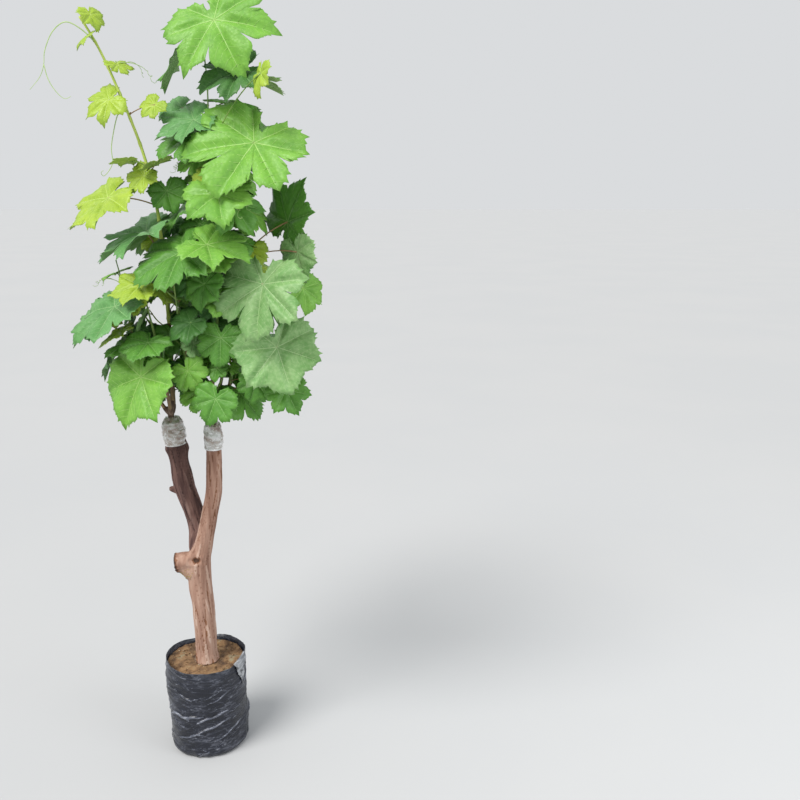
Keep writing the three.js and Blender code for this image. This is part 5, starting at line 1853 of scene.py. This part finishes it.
def make_tape(name, line, bulge, seed, materials):
    """Tape wound over the arm's cut top and drawn in to the scion, whiter along its folds, partly by the
    film's own colour and partly by painted glints
    """
    top = line.length
    distances = np.linspace(top - TAPE_LENGTH, top, 62)
    angle, along = np.meshgrid(turn_angles(TAPE_SIDES), distances)
    share = (along - distances[0]) / TAPE_LENGTH
    limb = np.array([line.at(distance)[3] for distance in distances])[:, None]
    swell = TAPE_THICKNESS + bulge * np.sin(math.pi * np.clip(share, 0.08, 1))
    crumple = round_noise(angle + along / 30, along, 1.7, 17, seed + 2)
    pleats = np.abs(round_noise(angle + along / 26, along, 2.4, 15, seed + 4))
    creased = np.abs(round_noise(angle - along / 45, along, 5.2, 8, seed + 6))
    turn = (along / TAPE_TURN + angle / (2 * math.pi) + 0.5 * crumple) % 1
    lap = 1.3 * turn ** 3 + 2.2 * crumple + 2.8 * pleats + 0.9 * creased - 1.5
    outside = line.rings(distances, limb + GAP + swell + lap * smooth_step(0, 0.06, share), TAPE_SIDES)
    inner_distances = np.linspace(top, top - TAPE_LENGTH, 12)
    inner_radii = np.array([line.at(distance)[3] for distance in inner_distances]) + GAP
    inside = line.rings(inner_distances, inner_radii, TAPE_SIDES)
    rings = np.array([*outside, *tape_cap(line, seed), *inside])
    # Folds and the lower edge take the whiter film: partly its own colour, partly painted glints
    folded = np.zeros((len(rings), TAPE_SIDES), dtype=int)
    folded[:len(distances)] = (pleats < 0.035) | (creased < 0.02) | (share < 0.05)
    faces = band_faces(len(rings), TAPE_SIDES, closed=True)
    shell = Shell(rings.reshape(-1, 3), faces, tone_marks(folded.ravel(), faces))
    make_piece(name + "_wrap", shell, materials, [name])


def make_grafts(lines, canes):
    dry = surface("scion_bark", detail=6)
    tapes = [patterned(name, list(zip(TAPE_STOPS, tones)), *TAPE_GRAIN, TAPE_GLOSS, detail=5, bump_detail=3)
             for name, tones in TAPE_COLOURS.items()]
    for graft, line in lines.items():
        on_graft = [cane for cane in canes if cane.shoot["graft"] == graft]
        make_scion(f"{graft}_scion", line, on_graft, dry)
        make_tape(f"{graft}_graft_tape", line, TAPE_BULGE[graft], TAPE_SEED[graft], tapes)


# Bag and soil

def bag_radius(height):
    share = 1 - np.clip(height / BAG_CORNER_HEIGHT, 0, 1)
    corner = mix(BAG_BELLY_RADIUS, BAG_FOOT_RADIUS, 1 - np.sqrt(1 - share * share))
    wall = mix(BAG_BELLY_RADIUS, BAG_RIM_RADIUS,
               (height - BAG_CORNER_HEIGHT) / (BAG_HEIGHT - BAG_CORNER_HEIGHT))
    return np.where(height < BAG_CORNER_HEIGHT, corner, wall)


def bag_dent(angle, height):
    fade = np.clip(height / 60, 0, 1)
    dent = np.sin(3 * angle + height / 50) + 0.7 * np.sin(5 * angle - height / 31 + 2)
    return BAG_DENT * fade * dent


def rim_height(angle):
    return BAG_HEIGHT + BAG_RIM_WAVE * (0.6 * np.sin(2 * angle + 0.8) + 0.4 * np.sin(5 * angle + 2))


def drawn_crease(draw):
    """A crease by its middle's angle and height, half length, slope, sag, strength and width"""
    return (draw() * 2 * math.pi, mix(6, BAG_HEIGHT - 4, draw()), mix(*CREASE_LENGTH, draw() ** 1.8),
            mix(*CREASE_SLOPE, draw()), mix(*CREASE_SAG, draw()), mix(*CREASE_STRENGTH, draw() ** 1.6),
            CREASE_WIDTH * mix(*CREASE_WIDENING, draw() ** 2))


def crease_field(angle, height):
    """Slanting creases of the filled film: how far each place stands on one, from 0 to 1"""
    draw = random_stream(CREASE_SEED)
    field = np.zeros(angle.shape)
    for crease in MAIN_CREASES + [drawn_crease(draw) for _ in range(CREASES)]:
        middle_angle, middle_height, half_length, slope, sag, strength, width = crease
        away = (angle - middle_angle + math.pi) % (2 * math.pi) - math.pi
        line = middle_height + slope * away + sag * away * away
        line = line + 1.6 * np.sin(13 * away + 7 * middle_angle)
        along = 1 - smooth_step(0.4, 1, np.abs(away) / half_length)
        apart = np.abs(height - line) / width
        field = np.maximum(field, strength * along * np.exp(-(apart ** 1.4)))
    return field


def bag_outside(angle, height):
    """Radius of the film's outer face, and its crease field"""
    creases = crease_field(angle, height)
    fade = smooth_step(2, 26, height)
    soft = round_noise(angle + height / 150, height, 1.5, 32, 2.0)
    dimples = round_noise(angle - height / 170, height, 4.2, 11, 6.0)
    foot_folds = 1.6 * (1 - smooth_step(8, 46, height)) * smooth_step(0, 8, height)
    folds = foot_folds * np.sin(13 * angle + 3 * np.sin(4 * angle))
    radius = bag_radius(height) + bag_dent(angle, height) + folds
    return radius + fade * (2.0 * soft + 1.1 * dimples + CREASE_HEIGHT * creases), creases


def make_bag():
    """The film inside and outside, with lighter crease crests: partly scuffs, partly painted glints"""
    angles = turn_angles(BAG_SIDES)
    shares = np.linspace(0, 1, BAG_BANDS + 1)
    rim = rim_height(angles) + 1.2 * round_noise(angles, np.zeros(BAG_SIDES), 6, 10, 1.0)
    height = np.outer(shares, rim)
    angle = np.broadcast_to(angles, height.shape)
    radius, creases = bag_outside(angle, height)
    lip = smooth_step(0.9, 1, shares)[:, None]
    radius = radius + lip * 2.0 * round_noise(angle, height, 1.6, 60, 9.0)
    outer = round_places(angle, radius, height)
    inner_height = np.linspace(1, BAG_FLOOR / BAG_HEIGHT, BAG_INNER_BANDS)[:, None] * rim
    inner_angle = angle[:BAG_INNER_BANDS]
    inner_radius, _ = bag_outside(inner_angle, inner_height)
    depth = smooth_step(0, 0.5, 1 - inner_height / rim)
    inner = round_places(inner_angle, inner_radius - FILM_THICKNESS - 3 * depth, inner_height)
    inner[0] = round_places(angles, radius[-1] - FILM_THICKNESS, rim)
    points, faces = capped(np.concatenate([outer, inner]))
    # Crease crests take the lighter film: partly scuffs, partly painted glints
    glint_and_scuff = np.zeros(len(points), dtype=bool)
    glint_and_scuff[:radius.size] = (creases + 0.45 * round_noise(angle, height, 5, 9, 4.0)).ravel() > GLINT_AND_SCUFF_FROM
    shell = Shell(points, faces, glint_and_scuff[faces].all(axis=1).astype(int))
    make_piece("bag_film", shell, [film("film"), film("scuffed_glint_film")], ["grow_bag"])


def make_rim_flap():
    """A torn strip of the film's top edge, folded over the rim and hanging outside on the right"""
    azimuth = np.radians(np.linspace(*FLAP_ANGLES, FLAP_ROWS))
    share = np.linspace(0, 1, FLAP_ROWS)
    point_down = np.clip(1 - np.abs(share - FLAP_TIP) / FLAP_TIP, 0, 1) ** 1.5
    drop = FLAP_DROP + FLAP_TIP_DROP * point_down + 4 * np.sin(14 * share)
    drop = drop * smooth_step(0, 0.12, share) * smooth_step(1, 0.8, share) + 2
    t = share[:, None]
    angle = np.broadcast_to(azimuth, (FLAP_ROWS, FLAP_ROWS))
    rim = rim_height(azimuth)
    height = rim + 2.2 * np.sin(math.pi * np.clip(t * 4, 0, 1)) - drop * np.clip(t - 0.1, 0, 1)
    radius, _ = bag_outside(angle, np.minimum(height, rim))
    curl = 0.5 + round_noise(angle, height, 7, 17, 3.0)
    radius = radius - 2.5 + 4.6 * smooth_step(0, 0.15, t) + 2.8 * smooth_step(0.2, 1, t) * curl
    outer = round_places(angle, radius, height)
    inner = round_places(angle, radius - FILM_THICKNESS * 0.8, height)
    shell = Shell(*capped(np.concatenate([outer, inner[:, ::-1]], axis=1)))
    make_piece("rim_flap", shell, [film("flap_film")], ["grow_bag"])


def soil_top(angle, radius):
    share = np.clip((radius - SOIL_FLAT_RADIUS) / (BAG_BELLY_RADIUS - SOIL_FLAT_RADIUS), 0, 1)
    lumps = np.sin(4 * angle + 1) + 0.6 * np.sin(7 * angle + radius / 9)
    flat = mix(SOIL_LEVEL, SOIL_EDGE_LEVEL, share) + share * (1 - share) * 4 * SOIL_LUMP * lumps
    places = round_places(angle, radius, 0).reshape(-1, 3)
    rough = SOIL_ROUGHNESS * noise_at(places / 14) + SOIL_GRAIN * noise_at(places / 4.5)
    return flat + rough.reshape(angle.shape) - 0.8 + 6 * smooth_step(70, 94, radius)


def make_soil():
    """Soil that fills the bag up to its top face"""
    angles = turn_angles(SOIL_SIDES)

    def film_reach(level):
        return bag_outside(angles, np.full(SOIL_SIDES, float(level)))[0]

    levels = range(SOIL_EDGE_LEVEL - 6, SOIL_EDGE_LEVEL + 12, 3)
    edge = np.min([film_reach(level) for level in levels], axis=0) - FILM_THICKNESS - 1.2
    radius = np.outer(np.linspace(1, 0.03, SOIL_RINGS), edge)
    angle = np.broadcast_to(angles, radius.shape)
    walls = [round_places(angles, film_reach(level) - SOIL_WALL_GAP, level) for level in SOIL_WALL_LEVELS]
    shell = Shell(*capped(np.concatenate([walls, round_places(angle, radius, soil_top(angle, radius))])))
    make_piece("soil_surface", shell, [surface("soil", detail=10)], ["soil"])


def make_crumbs():
    draw = random_stream(CRUMB_SEED)
    crumbs = Shell()
    for _ in range(CRUMBS):
        angle = np.array([draw() * 2 * math.pi])
        radius = (BAG_BELLY_RADIUS - 4) * math.sqrt(draw())
        size = mix(CRUMB_SIZE[0], CRUMB_SIZE[1], draw() ** 2.5)
        centre = round_places(angle, radius, soil_top(angle, radius) + size * 0.2)[0]
        crumbs.add(*lump(centre, size, draw))
    make_piece("soil_crumbs", crumbs, [surface("crumbs", detail=5)], ["soil"])


def make_floor():
    corners = np.array([[-1, -1, 0], [1, -1, 0], [1, 1, 0], [-1, 1, 0]])
    points = FLOOR_REACH * corners / MM
    mesh = mesh_from("floor", points, np.array([[0, 1, 2], [0, 2, 3]]))
    mesh.materials.append(surface("floor_paper", sockets={"Specular IOR Level": 0.1}))
    floor = add_object("floor", mesh)


def main():
    make_camera()
    make_floor()
    light_studio()
    right_line = Line(RIGHT_LIMB)
    left_line = Line(LEFT_LIMB)
    canes = grow_shoots(right_line, left_line)
    dress_shoots(canes)
    points, normals = make_right_wood(right_line, left_line)
    make_left_wood(left_line)
    make_lichen(points, normals)
    make_grafts({"left": left_line, "right": right_line}, canes)
    make_bag()
    make_rim_flap()
    make_soil()
    make_crumbs()


main()
